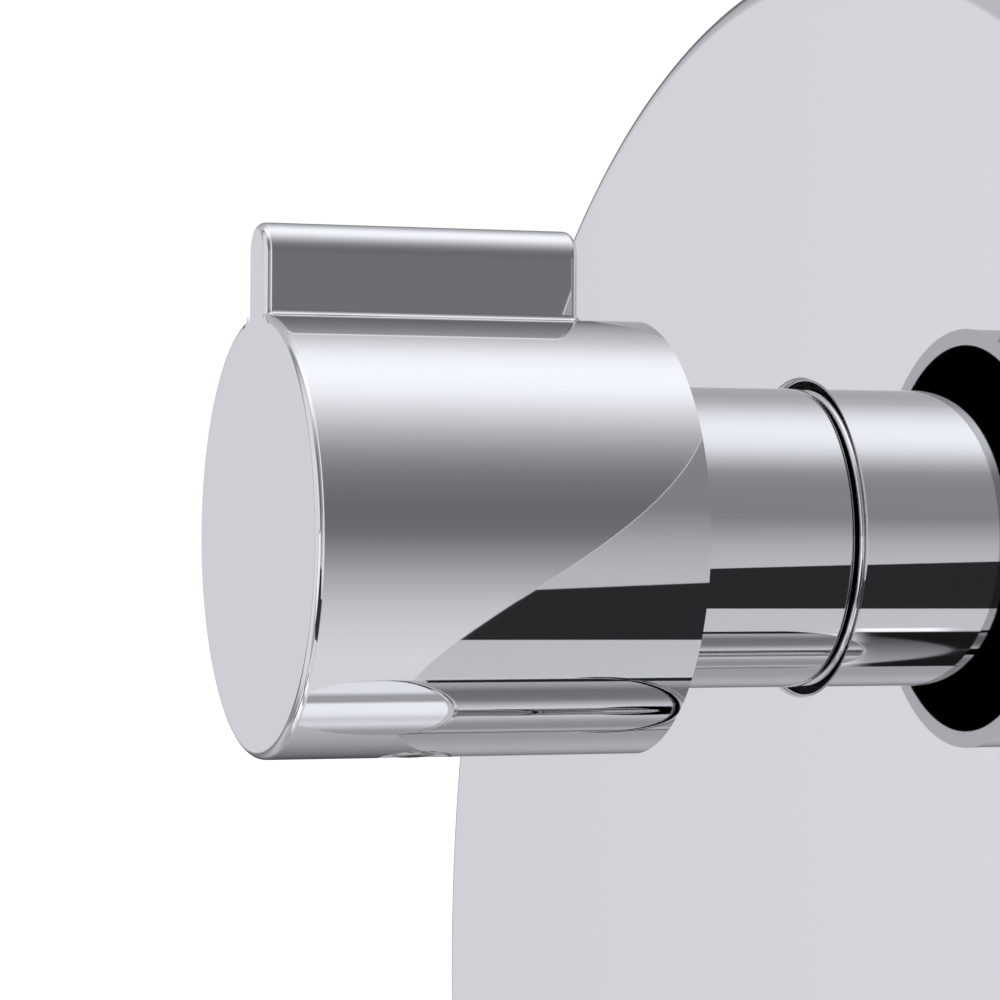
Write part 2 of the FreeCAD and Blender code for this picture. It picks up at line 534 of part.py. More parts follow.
def valve_body():
    lower_neck = f"{TEMP_R} - Sheet.collar_wall - Sheet.body_neck_clearance"
    neck_length = "Sheet.barrel_front - Sheet.body_neck_front"
    web = doc.addObject("Part::Box", "web")
    web.setExpression("Length", "Sheet.web_width")
    web.setExpression("Width", "Sheet.web_rear - Sheet.web_front")
    web.setExpression("Height", SPACING)
    web.setExpression("Placement.Base.x", "-Sheet.web_width / 2")
    web.setExpression("Placement.Base.y", "Sheet.web_front")
    web.setExpression("Placement.Base.z", LOWER)
    port_r = "Sheet.port_diameter / 2"
    thread_r = "Sheet.port_bore_diameter / 2"
    way_r = "Sheet.passage_diameter / 2"
    reach = "Sheet.port_reach"
    depth = "Sheet.port_bore_depth"
    solid = joined("valve_body_solid", [
        rod("upper_barrel", "Sheet.flow_barrel_diameter / 2", "Sheet.flow_barrel_length",
            ("0", "Sheet.barrel_front", UPPER), "y"),
        rod("lower_barrel", "Sheet.temp_barrel_diameter / 2", "Sheet.temp_barrel_length",
            ("0", "Sheet.barrel_front", LOWER), "y"),
        rod("lower_body_neck", lower_neck, neck_length, ("0", "Sheet.body_neck_front", LOWER), "y"),
        rod("inlet_pipe", port_r, f"2 * {reach}", (f"-{reach}", "Sheet.port_place", LOWER), "x"),
        rod("top_outlet_pipe", port_r, reach, ("0", "Sheet.port_place", UPPER), "z"),
        rod("bottom_outlet_pipe", port_r, depth, ("0", "Sheet.rear_pipe_place", f"{LOWER} - {reach}"), "z"),
        rod("rear_pipe", "Sheet.rear_pipe_diameter / 2", f"{SPACING} + {reach}",
            ("0", "Sheet.rear_pipe_place", f"{LOWER} - {reach}"), "z"),
        web] + [rod(f"{name}_boss", "Sheet.bracket_boss_diameter / 2", f"{BODY_REAR} - Sheet.web_rear",
                    (x, "Sheet.web_rear", z), "y") for name, x, z in bracket_screw_spots()])
    tools = [
        rod("flow_bore", "Sheet.flow_bore_diameter / 2", f"{FLOW_FLOOR} - Sheet.barrel_front",
            ("0", "Sheet.barrel_front", UPPER), "y"),
        rod("temperature_bore", "Sheet.temp_bore_diameter / 2", f"{TEMP_FLOOR} - Sheet.barrel_front",
            ("0", "Sheet.barrel_front", LOWER), "y"),
        rod("flow_nut_bore", "Sheet.flow_nut_diameter / 2", "Sheet.nut_length",
            ("0", "Sheet.barrel_front", UPPER), "y"),
        rod("lower_neck_bore", "Sheet.temp_nut_diameter / 2", f"{neck_length} + Sheet.nut_length",
            ("0", "Sheet.body_neck_front", LOWER), "y"),
        rod("top_thread", thread_r, depth, ("0", "Sheet.port_place", f"{UPPER} + {reach} - {depth}"), "z"),
        rod("bottom_thread", thread_r, depth, ("0", "Sheet.rear_pipe_place", f"{LOWER} - {reach}"), "z"),
        rod("top_way", way_r, reach, ("0", "Sheet.port_place", UPPER), "z"),
        rod("mixed_way", way_r, SPACING, ("0", "Sheet.port_place", LOWER), "z"),
        rod("inlet_way", way_r, f"2 * {reach}", (f"-{reach}", "Sheet.port_place", LOWER), "x"),
        rod("left_thread", thread_r, depth, (f"-{reach}", "Sheet.port_place", LOWER), "x"),
        rod("right_thread", thread_r, depth, (f"{reach} - {depth}", "Sheet.port_place", LOWER), "x"),
        rod("rear_way", "Sheet.rear_way_diameter / 2", f"{SPACING} + {reach} - Sheet.ceramic_diameter / 4",
            ("0", "Sheet.rear_pipe_place", f"{LOWER} - {reach}"), "z"),
        rod("rear_link", "Sheet.rear_way_diameter / 2", f"Sheet.rear_pipe_place - {FLOW_FLOOR}",
            ("0", FLOW_FLOOR, f"{UPPER} - Sheet.ceramic_diameter / 4"), "y"),
    ]
    for name, x, z in bracket_screw_spots():
        tools.append(rod(f"{name}_thread", "Sheet.bracket_screw_diameter / 2", "Sheet.bracket_screw_reach",
                         (x, f"{BODY_REAR} - Sheet.bracket_screw_reach", z), "y"))
    return kept(cut("valve_body", solid, tools), "valve_body")


# Cartridges.

def flow_cartridge_nut():
    """The nut that holds the upper cartridge, with the neck that carries the upper sleeve."""
    start = "Sheet.body_neck_front"
    bore = "Sheet.flow_neck_diameter / 2 + Sheet.cartridge_clearance"
    neck = f"{NECK_R} - Sheet.sleeve_wall - Sheet.body_neck_clearance"
    outer = "Sheet.flow_nut_diameter / 2 - Sheet.body_neck_clearance"
    step = "Sheet.barrel_front - Sheet.body_neck_front"
    end = f"{step} + Sheet.nut_length"
    return turned("flow_cartridge_nut", start, UPPER, [
        (None, bore), (None, neck), (step, neck), (step, outer), (end, outer), (end, bore)])


def thermostat_nut():
    """The ring nut that holds the thermostat in its bore."""
    return tube("thermostat_nut", "Sheet.barrel_front", LOWER, "Sheet.nut_length",
                "Sheet.temp_nut_diameter / 2 - Sheet.body_neck_clearance",
                "Sheet.temp_neck_diameter / 2 + Sheet.cartridge_clearance")


def flow_cartridge():
    """The cup that holds the ceramic discs, with a long neck round the stem."""
    start = "Sheet.flow_neck_front"
    neck = "Sheet.flow_neck_diameter / 2"
    outer = "Sheet.flow_bore_diameter / 2 - Sheet.cartridge_clearance"
    stem = "Sheet.flow_spindle_diameter / 2 + Sheet.spindle_clearance"
    chamber = "Sheet.ceramic_diameter / 2 + Sheet.spindle_clearance"
    shoulder = f"Sheet.barrel_front + Sheet.nut_length - ({start})"
    disc = f"{FLOW_FLOOR} - Sheet.seal_thickness - 2 * Sheet.ceramic_thickness - 3 * Sheet.ceramic_gap"
    roof = f"{disc} - Sheet.drive_disc_length - Sheet.ceramic_gap - ({start})"
    end = f"{FLOW_FLOOR} - Sheet.seal_thickness - ({start})"
    body = turned("flow_cartridge", start, UPPER, [
        (None, stem), (None, neck), (shoulder, neck), (shoulder, outer), (end, outer), (end, chamber),
        (roof, chamber), (roof, stem)])
    window = "Sheet.flow_window_diameter / 2"
    drilled(body, "flow_windows", "XY_Plane", [(window, None, f"{roof} + Sheet.flow_window_diameter")],
            "Sheet.flow_bore_diameter", both_ways=True)
    return body


def cartridge_seal(label, height, floor, bore, inner):
    """The soft ring between a cartridge and the floor of its bore."""
    return tube(label, f"{floor} - Sheet.seal_thickness", height, "Sheet.seal_thickness",
                f"{bore} / 2 - Sheet.cartridge_clearance", inner)


def thermostat_cartridge():
    """The housing of the thermostat: a neck round the stem and a chamber for the piston."""
    start = "Sheet.temp_neck_front"
    neck = "Sheet.temp_neck_diameter / 2"
    outer = "Sheet.temp_bore_diameter / 2 - Sheet.cartridge_clearance"
    stem = "Sheet.temp_spindle_diameter / 2 + Sheet.spindle_clearance"
    chamber = "Sheet.piston_diameter / 2 + Sheet.spindle_clearance"
    shoulder = f"Sheet.barrel_front + Sheet.nut_length - ({start})"
    roof = f"{shoulder} + Sheet.cup_wall"
    end = f"{TEMP_FLOOR} - Sheet.seal_thickness - ({start})"
    body = turned("thermostat_cartridge", start, LOWER, [
        (None, stem), (None, neck), (shoulder, neck), (shoulder, outer), (end, outer), (end, chamber),
        (roof, chamber), (roof, stem)])
    window = "Sheet.temp_window_diameter / 2"
    drilled(body, "thermostat_windows", "XY_Plane", [(window, None, f"Sheet.port_place - ({start})")],
            "Sheet.temp_bore_diameter", both_ways=True)
    return body


PISTON_FRONT = ("(Sheet.barrel_front + Sheet.nut_length + Sheet.cup_wall + Sheet.piston_travel"
                " + Sheet.spindle_clearance)")
WAX_FRONT = f"({PISTON_FRONT} + Sheet.piston_length)"
SPRING_END = f"({TEMP_FLOOR} - Sheet.seal_thickness)"


def regulating_piston():
    return tube("regulating_piston", PISTON_FRONT, LOWER, "Sheet.piston_length", "Sheet.piston_diameter / 2")


def wax_element():
    return tube("wax_element", WAX_FRONT, LOWER, "Sheet.wax_length", "Sheet.wax_diameter / 2")


def return_spring():
    """The spring round the wax element, from the piston to the seal at the rear."""
    wire = "Sheet.spring_wire / 2"
    gap = "Sheet.spindle_clearance"
    coil = "(Sheet.piston_diameter / 2 - Sheet.spring_wire)"
    helix = doc.addObject("Part::Helix", "spring_line")
    helix.setExpression("Radius", coil)
    height = f"({SPRING_END} - {WAX_FRONT} - Sheet.spring_wire - 2 * {gap})"
    helix.setExpression("Height", height)
    helix.setExpression("Pitch", f"{height} / Sheet.spring_turns")
    helix.SegmentLength = 0.25  # in turns: each quarter is a face of its own, which meshes closely
    helix.Placement = FreeCAD.Placement(FreeCAD.Vector(), FreeCAD.Rotation(FreeCAD.Vector(1, 0, 0), -90))
    wire_circle = doc.addObject("Part::Circle", "spring_wire_outline")
    wire_circle.setExpression("Radius", wire)
    for item in (helix, wire_circle):
        item.setExpression("Placement.Base.y", f"{WAX_FRONT} + {wire} + {gap}")
        item.setExpression("Placement.Base.z", LOWER)
    wire_circle.setExpression("Placement.Base.x", coil)
    doc.recompute()
    quarters = [f"Edge{number + 1}" for number in range(len(helix.Shape.Edges))]
    sweep = doc.addObject("Part::Sweep", "return_spring")
    sweep.Sections = [wire_circle]
    sweep.Spine = (helix, quarters)
    sweep.Solid = True
    sweep.Frenet = True
    return kept(sweep, "return_spring")


def stop_ring():
    """The ring on the thermostat's neck whose long lug, below, limits the turn of the knob."""
    inner = "Sheet.temp_neck_diameter / 2 + Sheet.spindle_clearance"
    outer = "Sheet.stop_ring_diameter / 2"
    end = "Sheet.stop_lug_length + Sheet.stop_ring_length"
    ring = turned("temperature_stop_ring", "Sheet.temp_neck_front", LOWER, [
        ("Sheet.stop_lug_length", inner), ("Sheet.stop_lug_length", outer), (end, outer), (end, inner)])
    lug(ring, "stop_lug", [
        (None, f"-({inner})"), (None, f"-({outer})"), ("Sheet.stop_lug_length", f"-({outer})"),
        ("Sheet.stop_lug_length", f"-({inner})")], "Sheet.stop_arc")
    return ring


# Inlet fittings, bracket and its screws.

def inlet_pair(label, length, inner_end, bore=None):
    """One round fitting in each of the two inlet ways, given by the distance of its inner end."""
    radius = "Sheet.passage_diameter / 2 - Sheet.spindle_clearance"
    pieces = []
    for side, start in (("hot", f"-({inner_end}) - {length}"), ("cold", inner_end)):
        place = (start, "Sheet.port_place", LOWER)
        piece = rod(f"{side}_{label}", radius, length, place, "x")
        if bore:
            hole = rod(f"{side}_{label}_bore", bore, length, place, "x")
            piece = cut(f"{side}_{label}_bored", piece, [hole])
        pieces.append(piece)
    return kept(joined(label, pieces), label)


def inlet_strainers():
    """The mesh discs at the ends of the inlet threads."""
    return inlet_pair("inlet_strainers", "Sheet.strainer_length",
                      "Sheet.port_reach - Sheet.port_bore_depth - Sheet.strainer_length")


def inlet_check_valves():
    """The one-way valves behind the strainers."""
    fittings = "Sheet.strainer_length - Sheet.check_valve_length"
    return inlet_pair("inlet_check_valves", "Sheet.check_valve_length",
                      f"Sheet.port_reach - Sheet.port_bore_depth - {fittings}", "Sheet.check_valve_bore / 2")


def fixing_bracket():
    """The flat steel plate behind the valve body that is screwed to the wall frame."""
    body = body_at("fixing_bracket", BODY_REAR)
    sketch = sketch_on(body, "bracket_outline", "XZ_Plane")
    half_x = "Sheet.bracket_width / 2"
    half_z = "Sheet.bracket_height / 2"
    outline(sketch, [
        (f"-{half_x}", f"-{half_z}"), (half_x, f"-{half_z}"), (half_x, half_z), (f"-{half_x}", half_z)])
    doc.recompute()
    pad = body.newObject("PartDesign::Pad", "bracket_pad")
    pad.Profile = sketch
    pad.Reversed = True
    pad.setExpression("Length", "Sheet.bracket_sheet")
    doc.recompute()
    hole = "Sheet.bracket_hole_diameter / 2"
    screw_hole = "Sheet.bracket_screw_diameter / 2 + Sheet.bracket_screw_clearance"
    spots = [(screw_hole, x, z) for name, x, z in bracket_screw_spots()]
    for side in ("-", ""):
        for level in ("-", ""):
            spots.append((hole, f"{side}Sheet.bracket_hole_spacing_x / 2",
                          f"{level}Sheet.bracket_hole_spacing_z / 2"))
    drilled(body, "bracket_holes", "XZ_Plane", spots, "Sheet.bracket_sheet")
    return body


def bracket_screws():
    """The screws that hold the valve body on its bracket."""
    start = f"{BODY_REAR} - Sheet.bracket_screw_reach"
    seat = f"{BODY_REAR} + Sheet.bracket_sheet"
    pieces = []
    for name, x, z in bracket_screw_spots():
        shank = rod(f"{name}_shank", "Sheet.bracket_screw_diameter / 2", f"{seat} - ({start})",
                    (x, start, z), "y")
        head = rod(f"{name}_head", "Sheet.bracket_screw_head / 2", "Sheet.bracket_screw_head_length",
                   (x, seat, z), "y")
        pieces += [shank, head]
    return kept(joined("bracket_screws", pieces), "bracket_screws")


BUILDERS = [
    wall_plate, plate_gasket, lambda: hole_seal("upper_hole_seal", UPPER, NECK_R),
    lambda: hole_seal("lower_hole_seal", LOWER, TEMP_R), upper_sleeve, lower_collar, valve_body,
    fixing_bracket, bracket_screws, inlet_strainers, inlet_check_valves, flow_cartridge, flow_cartridge_nut,
    lambda: cartridge_seal("flow_cartridge_seal", UPPER, FLOW_FLOOR, "Sheet.flow_bore_diameter",
                           "Sheet.ceramic_diameter / 4 + Sheet.rear_way_diameter / 2"),
    lambda: ceramic("fixed_ceramic", "1", "-"), lambda: ceramic("moving_ceramic", "2", ""), flow_spindle,
    lambda: insert_piece("flow_insert", FLOW_FRONT, UPPER, "Sheet.flow_insert_length",
                         "Sheet.flow_insert_diameter", "Sheet.flow_spindle_diameter"),
    flow_neck, flow_knob,
    lambda: set_screw("flow_set_screw", FLOW_FRONT, UPPER, FLOW_R, "Sheet.flow_insert_diameter / 2"),
    thermostat_cartridge, thermostat_nut,
    lambda: cartridge_seal("thermostat_seal", LOWER, TEMP_FLOOR, "Sheet.temp_bore_diameter",
                           "Sheet.wax_diameter / 2 + Sheet.cup_wall"),
    regulating_piston, wax_element, return_spring, stop_ring, temperature_spindle, temperature_insert,
    temperature_knob,
    lambda: set_screw("temperature_set_screw", TEMP_FRONT, LOWER, TEMP_R,
                      "Sheet.temp_insert_diameter / 2"),
]

for builder in BUILDERS:
    builder()
doc.recompute()

failed = [item.Name for item in doc.Objects if "Invalid" in item.State or "Error" in item.State]
if failed:
    raise RuntimeError(f"failed objects: {failed}")

os.makedirs("parts", exist_ok=True)
for piece in SUBPARTS:
    shape = piece.Shape
    if shape.isNull() or not shape.isValid():
        raise RuntimeError(f"{piece.Label}: bad shape")
    shape.exportStep(f"parts/{piece.Label}.step")
    print(f"{piece.Label}: {len(shape.Solids)} solid(s), {shape.Volume / 1000:.2f} cm3")
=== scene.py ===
"""The looks of a concealed wall mixer: a polished round plate, two round controls and the body behind them.

Lengths are in millimetres until a piece is placed. The row's frame is in metres: +Z up, -Y out of the wall.
"""

import json
import logging
import math
from dataclasses import dataclass, field
from enum import Enum
from typing import Callable, Iterable, Sequence

import bmesh
import bpy
from mathutils import Matrix, Vector


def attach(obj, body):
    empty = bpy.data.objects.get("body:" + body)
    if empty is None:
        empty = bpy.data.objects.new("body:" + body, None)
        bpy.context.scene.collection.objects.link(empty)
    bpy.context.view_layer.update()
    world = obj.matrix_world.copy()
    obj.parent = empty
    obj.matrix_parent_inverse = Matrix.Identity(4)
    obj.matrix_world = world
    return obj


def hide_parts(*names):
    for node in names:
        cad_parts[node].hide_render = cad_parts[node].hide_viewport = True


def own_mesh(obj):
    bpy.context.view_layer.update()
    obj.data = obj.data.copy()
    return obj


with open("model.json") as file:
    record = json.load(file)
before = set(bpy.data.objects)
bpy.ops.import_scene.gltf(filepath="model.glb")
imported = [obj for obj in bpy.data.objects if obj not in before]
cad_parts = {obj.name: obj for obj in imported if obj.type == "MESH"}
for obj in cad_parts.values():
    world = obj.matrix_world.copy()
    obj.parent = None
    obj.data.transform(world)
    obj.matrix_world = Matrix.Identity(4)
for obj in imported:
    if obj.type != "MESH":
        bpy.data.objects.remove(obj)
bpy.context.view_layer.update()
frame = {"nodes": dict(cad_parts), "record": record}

MM = 0.001
UPPER_AXIS = 53.2
LOWER_AXIS = -38.4
KNOB_FACE = -60.8
HANDLE_END = -6.35
SLEEVE_FRONT = -5.95
SLEEVE_REAR = 13.0
SCREW_TURN = math.radians(9.0)
SCREW_PLACE = 14.6
SCREW_RADIUS = 2.0
SCREW_SINK = 0.05
SCREW_HOLE = 2.05
CONE_MOUTH = 3.5
CONE_DEPTH = 0.9
LOG = logging.getLogger("wall_mixer")

Piece = bpy.types.Object
Socket = bpy.types.NodeSocket
Point = tuple[float, float]
Level = Socket | float
EdgeTest = Callable[[bmesh.types.BMEdge], bool]
FaceTest = Callable[[bmesh.types.BMFace], bool]


# Hand tools.

def clear_selection() -> None:
    """Leave edit mode and select nothing."""
    if bpy.context.object is not None and bpy.context.object.mode != "OBJECT":
        bpy.ops.object.mode_set(mode="OBJECT")
    bpy.ops.object.select_all(action="DESELECT")


def pick(piece: Piece) -> None:
    """Make a piece the only selected and active one.

    Args:
        piece: The piece to work on.
    """
    clear_selection()
    piece.select_set(True)
    bpy.context.view_layer.objects.active = piece


def settle(piece: Piece) -> None:
    """Move a piece's place, turn and size into its mesh.

    Args:
        piece: The piece whose object goes to the origin.
    """
    pick(piece)
    bpy.ops.object.transform_apply(location=True, rotation=True, scale=True)


def select_edges(piece: Piece, wanted: EdgeTest) -> int:
    """Enter edit mode with the edges selected that a test picks.

    Args:
        piece: The piece to work on.
        wanted: Says of an edge whether it is selected.

    Returns:
        How many edges were picked.
    """
    pick(piece)
    bpy.ops.object.mode_set(mode="EDIT")
    bpy.context.tool_settings.mesh_select_mode = (False, True, False)
    bpy.ops.mesh.select_all(action="DESELECT")
    mesh = bmesh.from_edit_mesh(piece.data)
    mesh.normal_update()
    count = 0
    for edge in mesh.edges:
        if wanted(edge):
            edge.select = True
            count += 1
    mesh.select_flush_mode()
    bmesh.update_edit_mesh(piece.data)
    return count


def select_faces(piece: Piece, wanted: FaceTest) -> int:
    """Enter edit mode with the faces selected that a test picks.

    Args:
        piece: The piece to work on.
        wanted: Says of a face whether it is selected.

    Returns:
        How many faces were picked.
    """
    pick(piece)
    bpy.ops.object.mode_set(mode="EDIT")
    bpy.context.tool_settings.mesh_select_mode = (False, False, True)
    bpy.ops.mesh.select_all(action="DESELECT")
    mesh = bmesh.from_edit_mesh(piece.data)
    mesh.normal_update()
    count = 0
    for face in mesh.faces:
        if wanted(face):
            face.select = True
            count += 1
    mesh.select_flush_mode()
    bmesh.update_edit_mesh(piece.data)
    return count


def round_edges(piece: Piece, wanted: EdgeTest, radius: float, segments: int) -> None:
    """Round the edges that a test picks.

    Args:
        piece: The piece to work on.
        wanted: Says of an edge whether it is rounded.
        radius: The radius in millimetres.
        segments: How many faces the rounding has across.
    """
    count = select_edges(piece, wanted)
    if count == 0:
        raise RuntimeError(f"{piece.name}: no edge to round")
    bpy.ops.mesh.bevel(offset=radius * MM, segments=segments, profile=0.5, affect="EDGES", clamp_overlap=False)
    bpy.ops.object.mode_set(mode="OBJECT")


def carve(piece: Piece, tool: Piece, operation: str = "DIFFERENCE") -> None:
    """Apply a boolean with another piece and delete that piece.

    Args:
        piece: The piece that is kept.
        tool: The piece that cuts it or joins it.
        operation: The boolean's name.
    """
    pick(piece)
    modifier = piece.modifiers.new("cut", "BOOLEAN")
    modifier.operation = operation
    modifier.solver = "EXACT"
    modifier.object = tool
    bpy.ops.object.modifier_apply(modifier=modifier.name)
    bpy.data.objects.remove(tool)


def smooth(piece: Piece, angle: float = 32.0) -> None:
    """Shade a finished piece smooth, with sharp edges kept and flat faces truly flat.

    Args:
        piece: The piece to shade.
        angle: Edges sharper than this stay sharp, in degrees.
    """
    pick(piece)
    bpy.ops.object.shade_smooth_by_angle(angle=math.radians(angle))
    modifier = piece.modifiers.new("flat faces", "WEIGHTED_NORMAL")
    modifier.mode = "FACE_AREA"
    modifier.weight = 100
    modifier.keep_sharp = True
    bpy.ops.object.modifier_apply(modifier=modifier.name)


def fillet(outline: Sequence[tuple[float, ...]], segments: int = 6) -> list[Point]:
    """Round the corners of an outline that give a radius.

    Args:
        outline: Corners as (radius, depth) or (radius, depth, rounding), in millimetres.
        segments: How many lines a rounding has.

    Returns:
        The outline's points with the roundings in.
    """
    points: list[Point] = []
    count = len(outline)
    for index, corner in enumerate(outline):
        here = Vector(corner[:2])
        if len(corner) < 3:
            points.append((here.x, here.y))
            continue
        before = (Vector(outline[index - 1][:2]) - here).normalized()
        after = (Vector(outline[(index + 1) % count][:2]) - here).normalized()
        half = before.angle(after) / 2
        reach = corner[2] / math.tan(half)
        centre = here + (before + after).normalized() * corner[2] / math.sin(half)
        start = here + before * reach - centre
        end = here + after * reach - centre
        turn = start.angle_signed(end)
        for step in range(segments + 1):
            spot = start.copy()
            spot.rotate(Matrix.Rotation(-turn * step / segments, 2))
            points.append((centre.x + spot.x, centre.y + spot.y))
    return points


def turned(name: str, height: float, outline: Sequence[Point], steps: int = 192,
           start_angle: float = 0.0) -> Piece:
    """Turn a closed outline about an axis that stands straight out of the wall.

    Args:
        name: The piece's name.
        height: The axis's height above the plate's centre, in millimetres.
        outline: Points as (radius, depth) in millimetres, round the section.
        steps: How many faces the piece has round its axis.
        start_angle: Where the first of them begins, in degrees from straight up.

    Returns:
        The turned piece.
    """
    slant = math.radians(start_angle)

    def spot(point: Point) -> Vector:
        """The place in metres of a point of the outline."""
        return Vector((point[0] * math.sin(slant), point[1], height + point[0] * math.cos(slant))) * MM

    clear_selection()
    bpy.ops.mesh.primitive_plane_add(size=MM, location=spot(outline[0]))
    piece = bpy.context.object
    piece.name = piece.data.name = name
    settle(piece)
    bpy.ops.object.mode_set(mode="EDIT")
    bpy.context.tool_settings.mesh_select_mode = (True, False, False)
    bpy.ops.mesh.select_all(action="SELECT")
    bpy.ops.mesh.merge(type="CENTER")
    here = spot(outline[0])
    closed = outline[0][0] > 0 or outline[-1][0] > 0
    path = list(outline[1:]) + ([outline[0]] if closed else [])
    for point in path:
        there = spot(point)
        bpy.ops.mesh.extrude_region_move(TRANSFORM_OT_translate={"value": there - here})
        here = there
    bpy.ops.mesh.select_all(action="SELECT")
    bpy.ops.mesh.remove_doubles(threshold=1e-7)
    bpy.ops.mesh.select_all(action="SELECT")
    bpy.ops.mesh.spin(steps=steps, angle=2 * math.pi, center=(0, 0, height * MM), axis=(0, 1, 0))
    bpy.ops.mesh.select_all(action="SELECT")
    bpy.ops.mesh.remove_doubles(threshold=1e-6)
    bpy.ops.mesh.normals_make_consistent(inside=False)
    bpy.ops.object.mode_set(mode="OBJECT")
    return piece


def under_knob(height: float, depth: float, reach: float) -> Vector:
    """A place on the axis of a knob's set screw, which points down and a little to the right.

    Args:
        height: The height of the knob's axis above the plate's centre, in millimetres.
        depth: The screw's place along the knob's axis, in millimetres.
        reach: The distance from the knob's axis, in millimetres.

    Returns:
        The place in millimetres.
    """
    return Vector((reach * math.sin(SCREW_TURN), depth, height - reach * math.cos(SCREW_TURN)))


def drill_screw_hole(knob: Piece, height: float, depth: float, surface: float, inner: float) -> None:
    """Cut a set screw's hole under a knob, with a cone at its mouth.

    Args:
        knob: The knob.
        height: The height of its axis, in millimetres.
        depth: The screw's place along the axis, in millimetres.
        surface: The knob's radius, in millimetres.
        inner: The distance from the axis where the hole ends, in millimetres.
    """
    def at(reach: float) -> Vector:
        """A place on the hole's axis."""
        return under_knob(height, depth, reach)

    carve(knob, drill(SCREW_HOLE, at(inner), at(surface + 2), 48))
    carve(knob, drill(SCREW_HOLE, at(surface - CONE_DEPTH), at(surface + CONE_DEPTH), 64,
                      2 * CONE_MOUTH - SCREW_HOLE))


def drill(radius: float, low: Vector, high: Vector, sides: int = 48, wide: float | None = None) -> Piece:
    """A round tool between two places, to cut with.

    Args:
        radius: Its radius at the low end, in millimetres.
        low: The centre of its low end, in millimetres.
        high: The centre of its high end, in millimetres.
        sides: How many faces it has round its axis.
        wide: Its radius at the high end, or None for the same.

    Returns:
        The tool.
    """
    clear_selection()
    way = high - low
    turn = Vector((0, 0, 1)).rotation_difference(way).to_euler()
    bpy.ops.mesh.primitive_cone_add(
        vertices=sides, radius1=radius * MM, radius2=(radius if wide is None else wide) * MM,
        depth=way.length * MM, location=(low + high) / 2 * MM, rotation=turn)
    tool = bpy.context.object
    settle(tool)
    return tool


def smooth_copy(node: str, angle: float = 26.0) -> Piece:
    """A merged and smoothly shaded copy that stands for a node of the frame.

    Args:
        node: The node's name.
        angle: Edges sharper than this stay sharp, in degrees.

    Returns:
        The copy.
    """
    mesh = frame["nodes"][node].data.copy()
    copy = bpy.data.objects.new(f"{node}_dressed", mesh)
    bpy.context.scene.collection.objects.link(copy)
    mesh.materials.clear()
    pick(copy)
    bpy.ops.mesh.customdata_custom_splitnormals_clear()
    bpy.ops.object.mode_set(mode="EDIT")
    bpy.ops.mesh.select_all(action="SELECT")
    bpy.ops.mesh.remove_doubles(threshold=2e-6)
    bpy.ops.object.mode_set(mode="OBJECT")
    smooth(copy, angle)
    return copy


# Finishes.

class Finish(Enum):
    """The finishes of the mixer, by the record's slot, and one near-black material that paints the shade inside
    the knob's hollow.
    """

    CHROME = "chrome"
    RUBBER = "rubber"
    BRASS = "brass"
    STEEL = "steel"
    PLASTIC = "plastic"
    DISC = "disc"
    HOLLOW = "hollow"


def node_group(name: str, inputs: Sequence[tuple[str, str, float]], outputs: Sequence[tuple[str, str]]
               ) -> bpy.types.NodeTree:
    """A new shader node group with its sockets.

    Args:
        name: The group's name.
        inputs: Name, socket type and default of each input.
        outputs: Name and socket type of each output.

    Returns:
        The group.
    """
    group = bpy.data.node_groups.new(name, "ShaderNodeTree")
    for label, kind, default in inputs:
        socket = group.interface.new_socket(name=label, in_out="INPUT", socket_type=kind)
        if kind == "NodeSocketFloat":
            socket.default_value = default
    for label, kind in outputs:
        group.interface.new_socket(name=label, in_out="OUTPUT", socket_type=kind)
    return group


def polish_group() -> bpy.types.NodeTree:
    """The group of faint polishing clouds and fine lines that every worked metal shares.

    Returns:
        The group, with a roughness and a height as outputs.
    """
    name = "polish marks"
    if name in bpy.data.node_groups:
        return bpy.data.node_groups[name]
    group = node_group(
        name,
        [("Vector", "NodeSocketVector", 0.0), ("Roughness", "NodeSocketFloat", 0.04),
         ("Clouds", "NodeSocketFloat", 0.02), ("Cloud Scale", "NodeSocketFloat", 30.0),
         ("Line Scale", "NodeSocketFloat", 900.0)],
        [("Roughness", "NodeSocketFloat"), ("Height", "NodeSocketFloat")])
    nodes, links = group.nodes, group.links
    entry, leave = nodes.new("NodeGroupInput"), nodes.new("NodeGroupOutput")
    clouds = nodes.new("ShaderNodeTexNoise")
    clouds.inputs["Detail"].default_value = 4.0
    lines = nodes.new("ShaderNodeTexNoise")
    lines.inputs["Detail"].default_value = 2.0
    spread = nodes.new("ShaderNodeMath")
    spread.operation = "MULTIPLY_ADD"
    links.new(entry.outputs["Vector"], clouds.inputs["Vector"])
    links.new(entry.outputs["Vector"], lines.inputs["Vector"])
    links.new(entry.outputs["Cloud Scale"], clouds.inputs["Scale"])
    links.new(entry.outputs["Line Scale"], lines.inputs["Scale"])
    links.new(clouds.outputs["Fac"], spread.inputs[0])
    links.new(entry.outputs["Clouds"], spread.inputs[1])
    links.new(entry.outputs["Roughness"], spread.inputs[2])
    links.new(spread.outputs[0], leave.inputs["Roughness"])
    links.new(lines.outputs["Fac"], leave.inputs["Height"])
    return group


